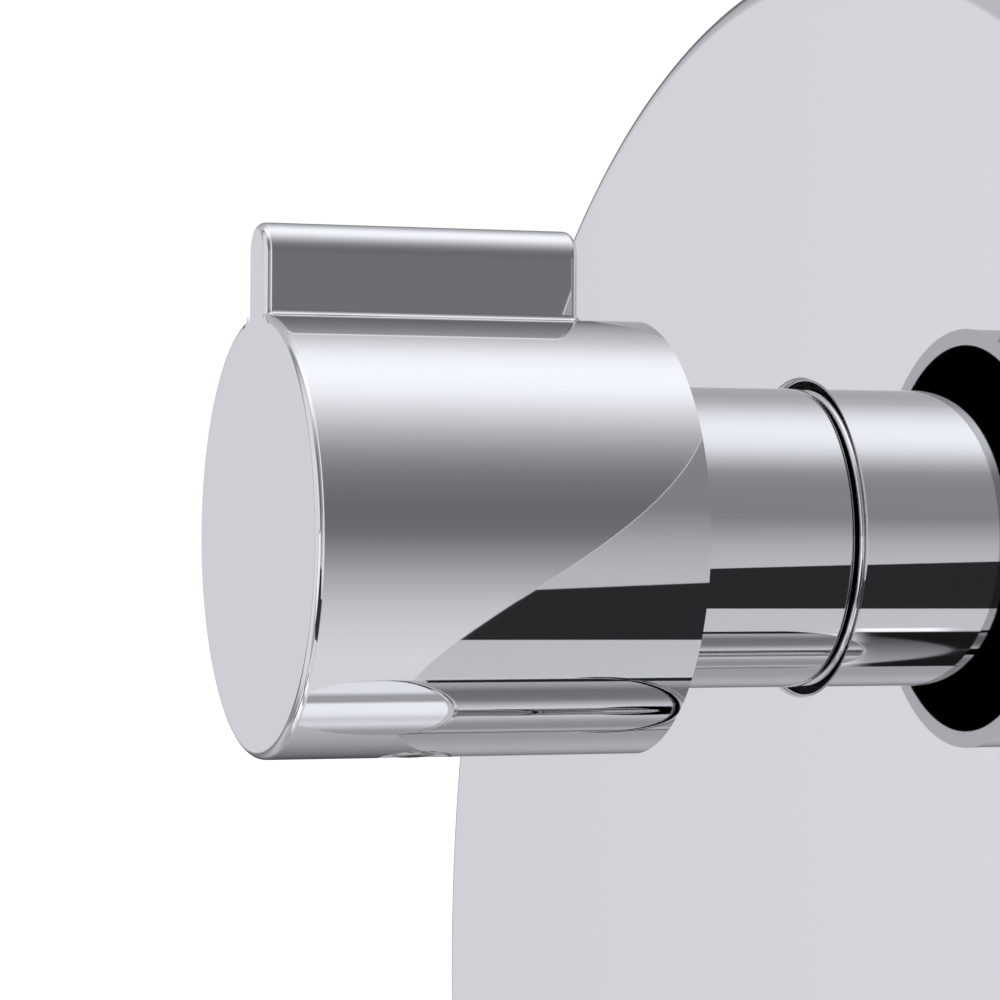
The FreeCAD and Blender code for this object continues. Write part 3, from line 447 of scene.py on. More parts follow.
def grain_group() -> bpy.types.NodeTree:
    """The group of coarse and fine grain for cast metal, rubber and moulded plastic.

    Returns:
        The group, with a mask and a height as outputs.
    """
    name = "grain"
    if name in bpy.data.node_groups:
        return bpy.data.node_groups[name]
    group = node_group(
        name,
        [("Vector", "NodeSocketVector", 0.0), ("Coarse", "NodeSocketFloat", 60.0),
         ("Fine", "NodeSocketFloat", 900.0), ("Share", "NodeSocketFloat", 0.5)],
        [("Mask", "NodeSocketFloat"), ("Height", "NodeSocketFloat")])
    nodes, links = group.nodes, group.links
    entry, leave = nodes.new("NodeGroupInput"), nodes.new("NodeGroupOutput")
    coarse, fine = nodes.new("ShaderNodeTexNoise"), nodes.new("ShaderNodeTexNoise")
    coarse.inputs["Detail"].default_value = 5.0
    fine.inputs["Detail"].default_value = 3.0
    blend = nodes.new("ShaderNodeMix")
    blend.data_type = "FLOAT"
    for texture, scale in ((coarse, "Coarse"), (fine, "Fine")):
        links.new(entry.outputs["Vector"], texture.inputs["Vector"])
        links.new(entry.outputs[scale], texture.inputs["Scale"])
    links.new(entry.outputs["Share"], blend.inputs[0])
    links.new(coarse.outputs["Fac"], blend.inputs[2])
    links.new(fine.outputs["Fac"], blend.inputs[3])
    links.new(coarse.outputs["Fac"], leave.inputs["Mask"])
    links.new(blend.outputs[0], leave.inputs["Height"])
    return group


def new_material(name: str) -> tuple[bpy.types.Material, bpy.types.Node, bpy.types.Node]:
    """A node material with its shader and its object coordinates.

    Args:
        name: The material's name.

    Returns:
        The material, its Principled shader and its coordinate node.
    """
    material = bpy.data.materials.new(name)
    material.use_nodes = True
    shader = material.node_tree.nodes["Principled BSDF"]
    place = material.node_tree.nodes.new("ShaderNodeTexCoord")
    return material, shader, place


def placed_group(material: bpy.types.Material, group: bpy.types.NodeTree, place: bpy.types.Node,
                 **values: float) -> bpy.types.Node:
    """Place a node group in a material with its own values.

    Args:
        material: The material.
        group: The group.
        place: The coordinate node whose Object output it reads.
        **values: Input values by socket name, with underscores for spaces.

    Returns:
        The group's node.
    """
    node = material.node_tree.nodes.new("ShaderNodeGroup")
    node.node_tree = group
    material.node_tree.links.new(place.outputs["Object"], node.inputs["Vector"])
    for label, number in values.items():
        node.inputs[label.replace("_", " ")].default_value = number
    return node


def bump(material: bpy.types.Material, shader: bpy.types.Node, height: Socket, strength: float,
         distance: float) -> None:
    """Send a height through a bump to a shader's normal.

    Args:
        material: The material.
        shader: Its shader.
        height: The socket with the height.
        strength: The bump's strength.
        distance: How deep the bump is, in metres.
    """
    node = material.node_tree.nodes.new("ShaderNodeBump")
    node.inputs["Strength"].default_value = strength
    node.inputs["Distance"].default_value = distance
    material.node_tree.links.new(height, node.inputs["Height"])
    material.node_tree.links.new(node.outputs["Normal"], shader.inputs["Normal"])


@dataclass(frozen=True)
class PolishedMetal:
    """Metal polished or turned smooth, with faint clouds in its gloss."""

    name: str
    colour: tuple[float, float, float]
    roughness: float
    clouds: float
    cloud_scale: float = 30.0
    line_scale: float = 900.0
    relief: float = 0.0

    def build(self) -> bpy.types.Material:
        """Make the material."""
        material, shader, place = new_material(self.name)
        shader.inputs["Base Color"].default_value = (*self.colour, 1)
        shader.inputs["Metallic"].default_value = 1.0
        marks = placed_group(material, polish_group(), place, Roughness=self.roughness, Clouds=self.clouds,
                             Cloud_Scale=self.cloud_scale, Line_Scale=self.line_scale)
        material.node_tree.links.new(marks.outputs["Roughness"], shader.inputs["Roughness"])
        if self.relief > 0:
            bump(material, shader, marks.outputs["Height"], 0.3, self.relief)
        return material


@dataclass(frozen=True)
class GrainyStuff:
    """Cast metal, rubber, ceramic or moulded plastic: a two-tone grain with its own relief."""

    name: str
    dark: tuple[float, float, float]
    light: tuple[float, float, float]
    metallic: float
    roughness: float
    coarse: float
    fine: float
    relief: float

    def build(self) -> bpy.types.Material:
        """Make the material."""
        material, shader, place = new_material(self.name)
        tree = material.node_tree
        grain = placed_group(material, grain_group(), place, Coarse=self.coarse, Fine=self.fine, Share=0.5)
        tone = tree.nodes.new("ShaderNodeValToRGB")
        tone.color_ramp.elements[0].position = 0.35
        tone.color_ramp.elements[1].position = 0.65
        tone.color_ramp.elements[0].color = (*self.dark, 1)
        tone.color_ramp.elements[1].color = (*self.light, 1)
        tree.links.new(grain.outputs["Mask"], tone.inputs["Fac"])
        tree.links.new(tone.outputs["Color"], shader.inputs["Base Color"])
        shader.inputs["Metallic"].default_value = self.metallic
        shader.inputs["Roughness"].default_value = self.roughness
        bump(material, shader, grain.outputs["Height"], 0.5, self.relief)
        return material


FINISHES: dict[Finish, PolishedMetal | GrainyStuff] = {
    Finish.CHROME: PolishedMetal("polished chrome", (0.745, 0.747, 0.753), 0.012, 0.016),
    # Near-black metal for the knob's recess: painted shade, standing in for the shadow deep inside the hollow.
    Finish.HOLLOW: PolishedMetal("shaded inside of the knob", (0.050, 0.052, 0.056), 0.10, 0.10, 60.0),
    Finish.STEEL: PolishedMetal("plain stainless steel", (0.56, 0.56, 0.55), 0.26, 0.16, 90.0, 2400.0, 0.00002),
    Finish.BRASS: GrainyStuff("cast brass", (0.50, 0.35, 0.15), (0.66, 0.48, 0.22), 1.0, 0.38, 140.0, 1500.0,
                              0.00012),
    Finish.RUBBER: GrainyStuff("soft black rubber", (0.012, 0.012, 0.013), (0.025, 0.025, 0.026), 0.0, 0.62,
                               200.0, 2500.0, 0.00004),
    Finish.PLASTIC: GrainyStuff("off-white moulded plastic", (0.66, 0.66, 0.63), (0.76, 0.76, 0.73), 0.0, 0.42,
                                120.0, 2200.0, 0.00003),
    Finish.DISC: GrainyStuff("lapped ceramic", (0.82, 0.81, 0.78), (0.90, 0.89, 0.87), 0.0, 0.16, 150.0, 3000.0,
                             0.00001),
}


class Paints:
    """The built materials, each made once."""

    def __init__(self) -> None:
        """Build every finish."""
        self.made = {finish: spec.build() for finish, spec in FINISHES.items()}

    def dress(self, piece: Piece, finish: Finish) -> None:
        """Give a piece one finish all over.

        Args:
            piece: The piece.
            finish: Its finish.
        """
        piece.data.materials.clear()
        piece.data.materials.append(self.made[finish])

    def dress_part(self, piece: Piece, finish: Finish, wanted: FaceTest) -> None:
        """Give the faces that a test picks a finish of their own.

        Args:
            piece: The piece, already dressed.
            finish: The finish of those faces.
            wanted: Says of a face whether it gets the finish.
        """
        piece.data.materials.append(self.made[finish])
        count = select_faces(piece, wanted)
        piece.active_material_index = len(piece.data.materials) - 1
        bpy.ops.object.material_slot_assign()
        bpy.ops.object.mode_set(mode="OBJECT")
        LOG.info("%s: %d faces in %s", piece.name, count, finish.name.lower())


def finish_piece(piece: Piece, body: str, nodes: Iterable[str]) -> None:
    """Let a finished piece ride on its body in place of its nodes, and report it.

    Args:
        piece: The piece.
        body: The body that it moves with.
        nodes: The nodes that it stands for.
    """
    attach(piece, body)
    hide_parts(*nodes)
    LOG.info("%s: %d faces on %s", piece.name, len(piece.data.polygons), body)


# Sub-assemblies.

@dataclass
class WallPlate:
    """The polished round plate with its rounded rim and its two holes."""

    radius: float = 110.0
    depth: float = 6.0
    rim: float = 3.0
    sheet: float = 2.5
    edge_radius: float = 2.8
    hole_edge_radius: float = 0.65
    upper_hole: float = 15.15
    lower_hole: float = 33.1

    def build(self, paints: Paints) -> None:
        """Model and dress the plate.

        Args:
            paints: The finishes.
        """
        clear_selection()
        bpy.ops.mesh.primitive_cylinder_add(
            vertices=320, radius=self.radius * MM, depth=self.depth * MM,
            location=(0, -self.depth / 2 * MM, 0), rotation=(math.pi / 2, 0, 0))
        plate = bpy.context.object
        plate.name = plate.data.name = "polished_plate"
        settle(plate)
        select_faces(plate, lambda face: face.calc_center_median().y > -1e-5)
        bpy.ops.mesh.inset(thickness=self.rim * MM)
        bpy.ops.mesh.extrude_region_move(
            TRANSFORM_OT_translate={"value": (0, -(self.depth - self.sheet) * MM, 0)})
        bpy.ops.object.mode_set(mode="OBJECT")
        for radius, height, sides in ((self.upper_hole, UPPER_AXIS, 160), (self.lower_hole, LOWER_AXIS, 256)):
            carve(plate, drill(radius, Vector((0, -20, height)), Vector((0, 20, height)), sides))
        front = -self.depth * MM + 1e-6

        def on_front(edge: bmesh.types.BMEdge, radius: float, height: float) -> bool:
            """Whether an edge lies on a circle of the plate's front."""
            return all(
                spot.co.y < front and abs(math.hypot(spot.co.x, spot.co.z - height * MM) - radius * MM) < 2e-5
                for spot in edge.verts)

        round_edges(plate, lambda edge: on_front(edge, self.radius, 0), self.edge_radius, 10)
        round_edges(plate, lambda edge: on_front(edge, self.upper_hole, UPPER_AXIS), self.hole_edge_radius, 8)
        round_edges(plate, lambda edge: on_front(edge, self.lower_hole, LOWER_AXIS), self.hole_edge_radius, 8)
        paints.dress(plate, Finish.CHROME)
        smooth(plate)
        finish_piece(plate, "mixer_body", ["wall_plate"])


@dataclass
class FlowControl:
    """The upper control: a hollow knob with a fin, its neck, the fixed sleeve and the set screw."""

    radius: float = 20.75
    length: float = 37.2
    wall: float = 1.6
    recess_depth: float = 17.0
    edge_radius: float = 0.85
    fin_length: float = 30.9
    fin_half: float = 2.85
    fin_top: float = 29.15
    fin_root: float = 0.5
    neck_radius: float = 14.55
    neck_wall: float = 2.0
    neck_seat: float = 3.0
    sleeve_wall: float = 1.5
    core_radius: float = 7.6
    core_floor: float = 6.0
    steps: int = 106

    def knob_body(self) -> Piece:
        """The knob without its fin, with sharp edges."""
        cap = self.length - self.recess_depth
        outline = [
            (0.0, 0.0), (self.radius, 0.0), (self.radius, self.length), (self.radius - self.wall, self.length),
            (self.radius - self.wall, cap), (self.neck_radius, cap), (self.neck_radius, cap - self.neck_seat),
            (self.neck_radius - self.neck_wall, cap - self.neck_seat), (self.neck_radius - self.neck_wall, cap),
            (self.core_radius, cap), (self.core_radius, self.core_floor), (0.0, self.core_floor)]
        placed = [(radius, KNOB_FACE + depth) for radius, depth in outline]
        return turned("flow_knob_turned", UPPER_AXIS, placed, self.steps, 180.0 / self.steps)

    def fin(self) -> Piece:
        """The fin: half a circle on top, straight sides, a rounded rear end."""
        centre = UPPER_AXIS + self.fin_top - self.fin_half
        foot = UPPER_AXIS + self.radius - self.wall / 2
        clear_selection()
        bpy.ops.mesh.primitive_circle_add(
            vertices=64, radius=self.fin_half * MM, fill_type="NOTHING",
            location=(0, KNOB_FACE * MM, centre * MM), rotation=(math.pi / 2, 0, 0))
        fin = bpy.context.object
        fin.name = fin.data.name = "flow_knob_fin"
        settle(fin)
        bpy.ops.object.mode_set(mode="EDIT")
        bpy.context.tool_settings.mesh_select_mode = (True, False, False)
        mesh = bmesh.from_edit_mesh(fin.data)
        for spot in mesh.verts:
            spot.select = spot.co.z < centre * MM - 1e-6
        bpy.ops.mesh.delete(type="VERT")
        mesh = bmesh.from_edit_mesh(fin.data)
        for spot in mesh.verts:
            spot.select = spot.co.z < centre * MM + 1e-6
        bpy.ops.mesh.extrude_vertices_move(TRANSFORM_OT_translate={"value": (0, 0, (foot - centre) * MM)})
        bpy.ops.mesh.select_all(action="SELECT")
        bpy.ops.mesh.edge_face_add()
        bpy.ops.mesh.select_all(action="SELECT")
        bpy.ops.mesh.extrude_region_move(TRANSFORM_OT_translate={"value": (0, self.fin_length * MM, 0)})
        bpy.ops.mesh.select_all(action="SELECT")
        bpy.ops.mesh.normals_make_consistent(inside=False)
        bpy.ops.object.mode_set(mode="OBJECT")
        rear = (KNOB_FACE + self.fin_length) * MM - 1e-6
        low = (foot + 0.01) * MM
        round_edges(
            fin, lambda edge: all(spot.co.y > rear for spot in edge.verts)
            and max(spot.co.z for spot in edge.verts) > low, self.edge_radius, 6)
        return fin

    def on_knob(self, spot: Vector) -> bool:
        """Whether a place lies on the knob's round side."""
        reach = math.hypot(spot.x, spot.z - UPPER_AXIS * MM)
        return (self.radius - 0.03) * MM < reach < (self.radius + 0.003) * MM

    def is_root(self, edge: bmesh.types.BMEdge) -> bool:
        """Whether an edge is where the fin meets the knob's round side."""
        rear = (KNOB_FACE + self.fin_length) * MM + 1e-6
        side = self.fin_half * MM + 1e-6
        return all(
            self.on_knob(spot.co) and abs(spot.co.x) < side and spot.co.y < rear and spot.co.z > UPPER_AXIS * MM
            for spot in edge.verts)

    def build_knob(self, paints: Paints) -> None:
        """Model and dress the knob with its fin.

        Args:
            paints: The finishes.
        """
        knob = self.knob_body()
        carve(knob, self.fin(), "UNION")
        knob.name = knob.data.name = "finned_flow_knob"
        pick(knob)
        bpy.ops.object.mode_set(mode="EDIT")
        bpy.ops.mesh.select_all(action="SELECT")
        bpy.ops.mesh.remove_doubles(threshold=1e-6)
        bpy.ops.mesh.dissolve_limited(angle_limit=math.radians(0.2))
        bpy.ops.object.mode_set(mode="OBJECT")
        round_edges(knob, self.is_root, self.fin_root, 5)
        front = KNOB_FACE * MM + 1e-6
        round_edges(
            knob, lambda edge: all(spot.co.y < front for spot in edge.verts)
            and edge.calc_face_angle(0.0) > 0.5, self.edge_radius, 7)
        drill_screw_hole(knob, UPPER_AXIS, KNOB_FACE + SCREW_PLACE, self.radius, self.core_radius - 0.1)
        paints.dress(knob, Finish.CHROME)
        cap = (KNOB_FACE + self.length - self.recess_depth) * MM
        inner = (self.radius - self.wall) * MM + 1e-5
        # The recess's walls and floor get the near-black material: painted shade of the hollow's inside.
        paints.dress_part(
            knob, Finish.HOLLOW,
            lambda face: all(math.hypot(spot.co.x, spot.co.z - UPPER_AXIS * MM) < inner for spot in face.verts)
            and face.calc_center_median().y > cap - 1e-5)
        smooth(knob)
        finish_piece(knob, "flow_control", ["flow_knob"])

    def build_neck(self, paints: Paints) -> None:
        """Model and dress the neck tube.

        Args:
            paints: The finishes.
        """
        start = KNOB_FACE + self.length - self.recess_depth - self.neck_seat
        inner = self.neck_radius - self.neck_wall
        neck = turned("flow_neck_tube", UPPER_AXIS, fillet([
            (self.neck_radius, start), (self.neck_radius, HANDLE_END, 0.5), (inner, HANDLE_END),
            (inner, start)]))
        paints.dress(neck, Finish.CHROME)
        smooth(neck)
        finish_piece(neck, "flow_control", ["flow_neck"])

    def build_sleeve(self, paints: Paints) -> None:
        """Model and dress the fixed sleeve in the plate's hole.

        Args:
            paints: The finishes.
        """
        inner = self.neck_radius - self.sleeve_wall
        sleeve = turned("upper_sleeve_tube", UPPER_AXIS, fillet([
            (self.neck_radius, SLEEVE_FRONT, 0.6), (self.neck_radius, SLEEVE_REAR),
            (inner, SLEEVE_REAR), (inner, SLEEVE_FRONT, 0.3)]))
        paints.dress(sleeve, Finish.CHROME)
        smooth(sleeve)
        finish_piece(sleeve, "mixer_body", ["upper_sleeve"])


@dataclass
class SetScrew:
    """A headless screw with a six-sided socket, under a knob."""

    name: str
    node: str
    body: str
    height: float
    depth: float
    inner: float
    outer: float
    radius: float = SCREW_RADIUS
    socket: float = 2.0
    socket_depth: float = 2.2

    def build(self, paints: Paints) -> None:
        """Model and dress the screw.

        Args:
            paints: The finishes.
        """
        def at(reach: float) -> Vector:
            """A place on the screw's axis."""
            return under_knob(self.height, self.depth, reach)

        screw = drill(self.radius, at(self.inner), at(self.outer), 48)
        screw.name = screw.data.name = self.name
        way = (at(1) - at(0)).normalized()
        limit = (at(self.outer) * MM).dot(way) - 1e-6
        round_edges(screw, lambda edge: all(spot.co.dot(way) > limit for spot in edge.verts), 0.3, 3)
        across = self.socket / math.sqrt(3)
        carve(screw, drill(across, at(self.outer - self.socket_depth), at(self.outer + 1), 6))
        paints.dress(screw, Finish.STEEL)
        smooth(screw)
        finish_piece(screw, self.body, [self.node])


@dataclass
class TemperatureControl:
    """The lower control: a plain round knob and the fixed collar behind it."""

    radius: float = 32.5
    front: float = -31.5
    wall: float = 2.5
    face: float = 4.0
    boss_radius: float = 15.0
    boss_length: float = 21.0
    core_radius: float = 10.1
    core_floor: float = 6.0
    collar_wall: float = 2.0
    collar_face: float = 2.5
    collar_hole: float = 17.0

    def build_knob(self, paints: Paints) -> None:
        """Model and dress the knob.

        Args:
            paints: The finishes.
        """
        hollow = self.radius - self.wall
        length = HANDLE_END - self.front
        outline = [
            (0.0, 0.0), (self.radius, 0.0, 0.85), (self.radius, length, 0.5), (hollow, length),
            (hollow, self.face), (self.boss_radius, self.face), (self.boss_radius, self.boss_length),
            (self.core_radius, self.boss_length), (self.core_radius, self.core_floor), (0.0, self.core_floor)]
        placed = [(corner[0], self.front + corner[1], *corner[2:]) for corner in outline]
        knob = turned("temperature_knob_turned", LOWER_AXIS, fillet(placed), 240)
        drill_screw_hole(knob, LOWER_AXIS, self.front + SCREW_PLACE, self.radius, self.core_radius - 0.1)
        paints.dress(knob, Finish.CHROME)
        smooth(knob)
        finish_piece(knob, "temperature_control", ["temperature_knob"])

    def build_collar(self, paints: Paints) -> None:
        """Model and dress the collar.

        Args:
            paints: The finishes.
        """
        inner = self.radius - self.collar_wall
        collar = turned("temperature_collar", LOWER_AXIS, fillet([
            (self.collar_hole, SLEEVE_FRONT), (self.radius, SLEEVE_FRONT, 0.6), (self.radius, SLEEVE_REAR),
            (inner, SLEEVE_REAR), (inner, SLEEVE_FRONT + self.collar_face),
            (self.collar_hole, SLEEVE_FRONT + self.collar_face),
        ]), 240)
        paints.dress(collar, Finish.CHROME)
        smooth(collar)
        finish_piece(collar, "mixer_body", ["lower_collar"])


@dataclass
class HiddenWorks:
    """What the wall and the knobs hide: the valve body, its cartridges, seals, springs and bracket."""

    replaced: set[str] = field(default_factory=set)
    spring: str = "return_spring"
    spring_end: float = 52.4
    spring_share: float = 0.86

    def build(self, paints: Paints) -> None:
        """Dress a smooth copy of each hidden node.

        Args:
            paints: The finishes.
        """
        slots = {entry["node"]: entry["material_slot"] for entry in frame["record"]["subparts"]}
        bodies = frame["record"]["behaviour"]["bodies"]
        for body, members in bodies.items():
            for node in members:
                if node in self.replaced:
                    continue
                copy = smooth_copy(node)
                paints.dress(copy, Finish(slots[node]))
                finish_piece(copy, body, [node])
                if node == self.spring:
                    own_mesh(copy)


# Studio.

@dataclass
class SkyMath:
    """Arithmetic with directions and brightnesses in the surround's node tree."""

    tree: bpy.types.NodeTree
    brightest: float = 1.5
    stops_each: int = 15

    def join(self, item: Level, socket: Socket) -> None:
        """Set a socket to a number or link it to another socket.

        Args:
            item: The number or the socket to read.
            socket: The socket that gets it.
        """
        if isinstance(item, (int, float)):
            socket.default_value = item
        else:
            self.tree.links.new(item, socket)

    def do(self, operation: str, *values: Level) -> Socket:
        """A math node.

        Args:
            operation: Its operation.
            *values: Its inputs.

        Returns:
            Its result.
        """
        node = self.tree.nodes.new("ShaderNodeMath")
        node.operation = operation
        for socket, item in zip(node.inputs, values):
            self.join(item, socket)
        return node.outputs[0]

    def step(self, item: Level, low: float, high: float) -> Socket:
        """A smooth step.

        Args:
            item: The value to look at.
            low: Where the step is 0.
            high: Where the step is 1, above or below low.

        Returns:
            The step.
        """
        node = self.tree.nodes.new("ShaderNodeMapRange")
        node.interpolation_type = "SMOOTHSTEP"
        self.join(low, node.inputs["From Min"])
        self.join(high, node.inputs["From Max"])
        self.join(item, node.inputs["Value"])
        return node.outputs["Result"]

    def between(self, item: Level, low: float, high: float, soft: float) -> Socket:
        """A mask that is 1 between two values.

        Args:
            item: The value to look at.
            low: The lower value.
            high: The higher value.
            soft: Half the width of each soft end.

        Returns:
            The mask.
        """
        rise = self.step(item, low - soft, low + soft)
        return self.do("MINIMUM", rise, self.step(item, high + soft, high - soft))

    def blend(self, share: Level, first: Level, second: Level) -> Socket:
        """A blend of two brightnesses.

        Args:
            share: The second one's share.
            first: The first brightness.
            second: The second brightness.

        Returns:
            The blend.
        """
        node = self.tree.nodes.new("ShaderNodeMix")
        node.data_type = "FLOAT"
        for index, item in ((0, share), (2, first), (3, second)):
            self.join(item, node.inputs[index])
        return node.outputs[0]

    def profile(self, stops: Sequence[Point], degrees: Level) -> Socket:
        """A brightness by angle, in ramps of a few stops each, because a ramp has only 256 steps.

        Args:
            stops: Angle in degrees and brightness, in order.
            degrees: The angle.

        Returns:
            The brightness.
        """
        level = None
        for start in range(0, len(stops) - 1, self.stops_each):
            part = stops[start:start + self.stops_each + 1]
            low, high = part[0][0], part[-1][0]
            spread = self.tree.nodes.new("ShaderNodeMapRange")
            self.join(low, spread.inputs["From Min"])
            self.join(high, spread.inputs["From Max"])
            self.join(degrees, spread.inputs["Value"])
            node = self.tree.nodes.new("ShaderNodeValToRGB")
            elements = node.color_ramp.elements
            while len(elements) < len(part):
                elements.new(0.5)
            for element, (angle, bright) in zip(elements, part):
                element.position = (angle - low) / (high - low)
                element.color = (*[bright / self.brightest] * 3, 1)
            self.join(spread.outputs["Result"], node.inputs["Fac"])
            here = node.outputs["Color"]
            level = here if level is None else self.blend(self.do("GREATER_THAN", degrees, low), level, here)
        return self.do("MULTIPLY", level, self.brightest)


@dataclass
class Studio:
    """The camera of the photograph, a pale floor and the soft surround that the chrome mirrors.

    A direction of the surround is told by how far it points out of the wall, from -1 to 1, and by its
    angle about the controls' axis in degrees: 0 to the right, 90 down, -90 up.
    """

    place: tuple[float, float, float] = (332.07, -150.35, 56.04)
    view: tuple[float, float, float] = (-0.9462, 0.3236, 0.0019)
    up: tuple[float, float, float] = (0.0, -0.0059, 1.0)
    lens: float = 133.1
    floor_height: float = -330.0
    floor_glow: float = 1.2
    floor_share: float = 0.72
    dull_level: float = 0.85
    mirror_tint: tuple[float, float, float] = (0.98, 1.0, 1.055)
    plain: float = 0.86
    toward_wall: tuple[Point, ...] = (
        (-180, 0.05), (-159, 0.21), (-143, 0.46), (-132, 0.61), (-124, 0.74), (-117, 0.91), (-108, 1.13),
        (-99, 1.23), (-91, 1.24), (-83, 1.19), (-76, 1.07), (-70, 0.92), (-63, 0.76), (-57, 0.62),
        (-51, 0.50), (-45, 0.39), (-39, 0.31), (-33, 0.255), (-28, 0.22), (-17, 0.185), (-6, 0.19),
        (-1, 0.22), (4, 0.285), (10, 0.36), (15, 0.43), (20, 0.51), (26, 0.58), (31, 0.65), (36, 0.71),
        (42, 0.757), (53, 0.82), (65, 0.865), (90, 0.85), (110, 0.62), (121, 0.53), (126, 0.48), (131, 0.43),
        (137, 0.363), (144, 0.28), (152, 0.19), (158, 0.13), (170, 0.06), (180, 0.05))
    into_room: tuple[Point, ...] = (
        (-180, 0.815), (-171.5, 0.815), (-165, 0.62), (-160, 0.56), (-140, 0.58), (-127, 0.70), (-117, 0.93),
        (-108, 1.16), (-100, 1.32), (-93, 1.39), (-86, 1.39), (-80, 1.34), (-74, 1.23), (-68, 1.03),
        (-63, 0.83), (-57, 0.62), (-52, 0.46), (-46, 0.40), (-37, 0.36), (-16, 0.35), (-9, 0.45), (-3, 0.54),
        (4, 0.65), (10, 0.71), (18, 0.77), (26.4, 0.79), (40, 0.82), (60, 0.84), (77, 0.86), (80, 1.25),
        (86, 1.25), (89, 0.56), (93, 0.56), (95, 1.41), (100, 1.41), (103, 1.33), (107, 0.98), (112, 1.14),
        (118, 0.56), (121, 0.50), (131, 0.53), (137, 0.59), (143, 0.63), (148, 0.60), (152, 0.53),
        (157, 0.41), (163, 0.28), (168, 0.28), (171.5, 0.815), (180, 0.815))

    def camera(self) -> None:
        """Set up the camera where the photograph was taken."""
        lens = bpy.data.cameras.new("photograph")
        lens.lens = self.lens
        lens.sensor_width = 36.0
        lens.sensor_fit = "HORIZONTAL"
        lens.clip_start = 0.01
        lens.clip_end = 50.0
        camera = bpy.data.objects.new("photograph", lens)
        bpy.context.scene.collection.objects.link(camera)
        back = -Vector(self.view).normalized()
        right = Vector(self.up).cross(back).normalized()
        top = back.cross(right)
        turn = Matrix((right, top, back)).transposed().to_4x4()
        camera.matrix_world = Matrix.Translation(Vector(self.place) * MM) @ turn
        bpy.context.scene.camera = camera

    def floor(self) -> None:
        """Lay the plain pale floor, which metal and glass see as part of the surround."""
        clear_selection()
        bpy.ops.mesh.primitive_plane_add(size=30, location=(0, 0, self.floor_height * MM))
        floor = bpy.context.object
        floor.name = "pale_floor"
        settle(floor)
        material = bpy.data.materials.new("pale floor")
        material.use_nodes = True
        tree = material.node_tree
        tree.nodes.clear()
        sums = SkyMath(tree)
        paper = tree.nodes.new("ShaderNodeBsdfDiffuse")
        paper.inputs["Color"].default_value = (0.9, 0.9, 0.9, 1)
        glow = tree.nodes.new("ShaderNodeEmission")
        glow.inputs["Strength"].default_value = self.floor_glow
        clear = tree.nodes.new("ShaderNodeBsdfTransparent")
        path = tree.nodes.new("ShaderNodeLightPath")
        shown = sums.do("MULTIPLY", path.outputs["Is Camera Ray"], self.floor_share)
        mirrored = sums.do("MAXIMUM", path.outputs["Is Glossy Ray"], path.outputs["Is Transmission Ray"])
        seen = tree.nodes.new("ShaderNodeMixShader")
        whole = tree.nodes.new("ShaderNodeMixShader")
        out = tree.nodes.new("ShaderNodeOutputMaterial")
        for mix, share, first, second in ((seen, shown, paper, glow), (whole, mirrored, seen, clear)):
            tree.links.new(share, mix.inputs["Fac"])
            tree.links.new(first.outputs[0], mix.inputs[1])
            tree.links.new(second.outputs[0], mix.inputs[2])
        tree.links.new(whole.outputs[0], out.inputs["Surface"])
        floor.data.materials.append(material)

    def lamps(self) -> None:
        """Hang two soft lamps that light the dull pieces."""
        for name, place, size, power in (
                ("overhead", (0.2, -0.5, 1.3), 1.4, 9.0), ("side", (1.1, -0.9, 0.5), 1.0, 4.0)):
            lamp = bpy.data.lights.new(name, "AREA")
            lamp.size = size
            lamp.energy = power
            holder = bpy.data.objects.new(name, lamp)
            holder.location = place
            holder.rotation_euler = (Vector(place)).to_track_quat("Z", "Y").to_euler()
            holder.visible_glossy = False
            bpy.context.scene.collection.objects.link(holder)

    def dark_band(self, sky: SkyMath, degrees: Level, outward: Level) -> Socket:
        """The mask of the black band low on the right, whose edges slant.

        Args:
            sky: The node tree's arithmetic.
            degrees: The angle about the axis.
            outward: How far the direction points out of the wall.

        Returns:
            The mask.
        """
        held = sky.do("MINIMUM", sky.do("MAXIMUM", outward, 0.28), 0.45)
        slant = sky.do("SUBTRACT", held, 0.331)
        top = sky.do("SUBTRACT", degrees, sky.do("MULTIPLY_ADD", slant, -82.0, 26.76))
        bottom = sky.do("SUBTRACT", degrees, sky.do("MULTIPLY_ADD", slant, 14.0, 54.15))
        band = sky.do("MINIMUM", sky.step(top, -0.25, 0.25), sky.step(bottom, 0.25, -0.25))
        return sky.do("MULTIPLY", band, sky.step(outward, 0.76, 0.72))

    def neck_shade(self, sky: SkyMath, degrees: Level, outward: Level) -> Socket:
        """The brightness that the neck's image in the plate mirrors from below: black round a grey cone.

        Args:
            sky: The node tree's arithmetic.
            degrees: The angle about the axis.
            outward: How far the direction points out of the wall.

        Returns:
            The brightness.
        """
        spread = sky.do("SQRT", sky.do("MAXIMUM", sky.do("SUBTRACT", 0.4355, outward), 0.0))
        off_axis = sky.do("ABSOLUTE", sky.do("SUBTRACT", degrees, 96.5))
        cone = sky.do("SUBTRACT", sky.do("MULTIPLY", spread, 113.0), off_axis)
        grey = sky.do("MULTIPLY_ADD", sky.do("SUBTRACT", degrees, 82.0), 0.016, 0.09)
        return sky.blend(sky.step(cone, -1.0, 1.5), 0.015, grey)

    def room_level(self, sky: SkyMath, degrees: Level, outward: Level, across: Level) -> Socket:
        """The brightness of the half that lies out of the wall.

        Args:
            sky: The node tree's arithmetic.
            degrees: The angle about the axis.
            outward: How far the direction points out of the wall.
            across: How far the direction points to the right.

        Returns:
            The brightness.
        """
        def patch(reach: tuple[float, float, float], angles: tuple[float, float, float]) -> Socket:
            """A mask between two reaches out of the wall and two angles, each with its softness."""
            return sky.do("MULTIPLY", sky.between(outward, *reach), sky.between(degrees, *angles))

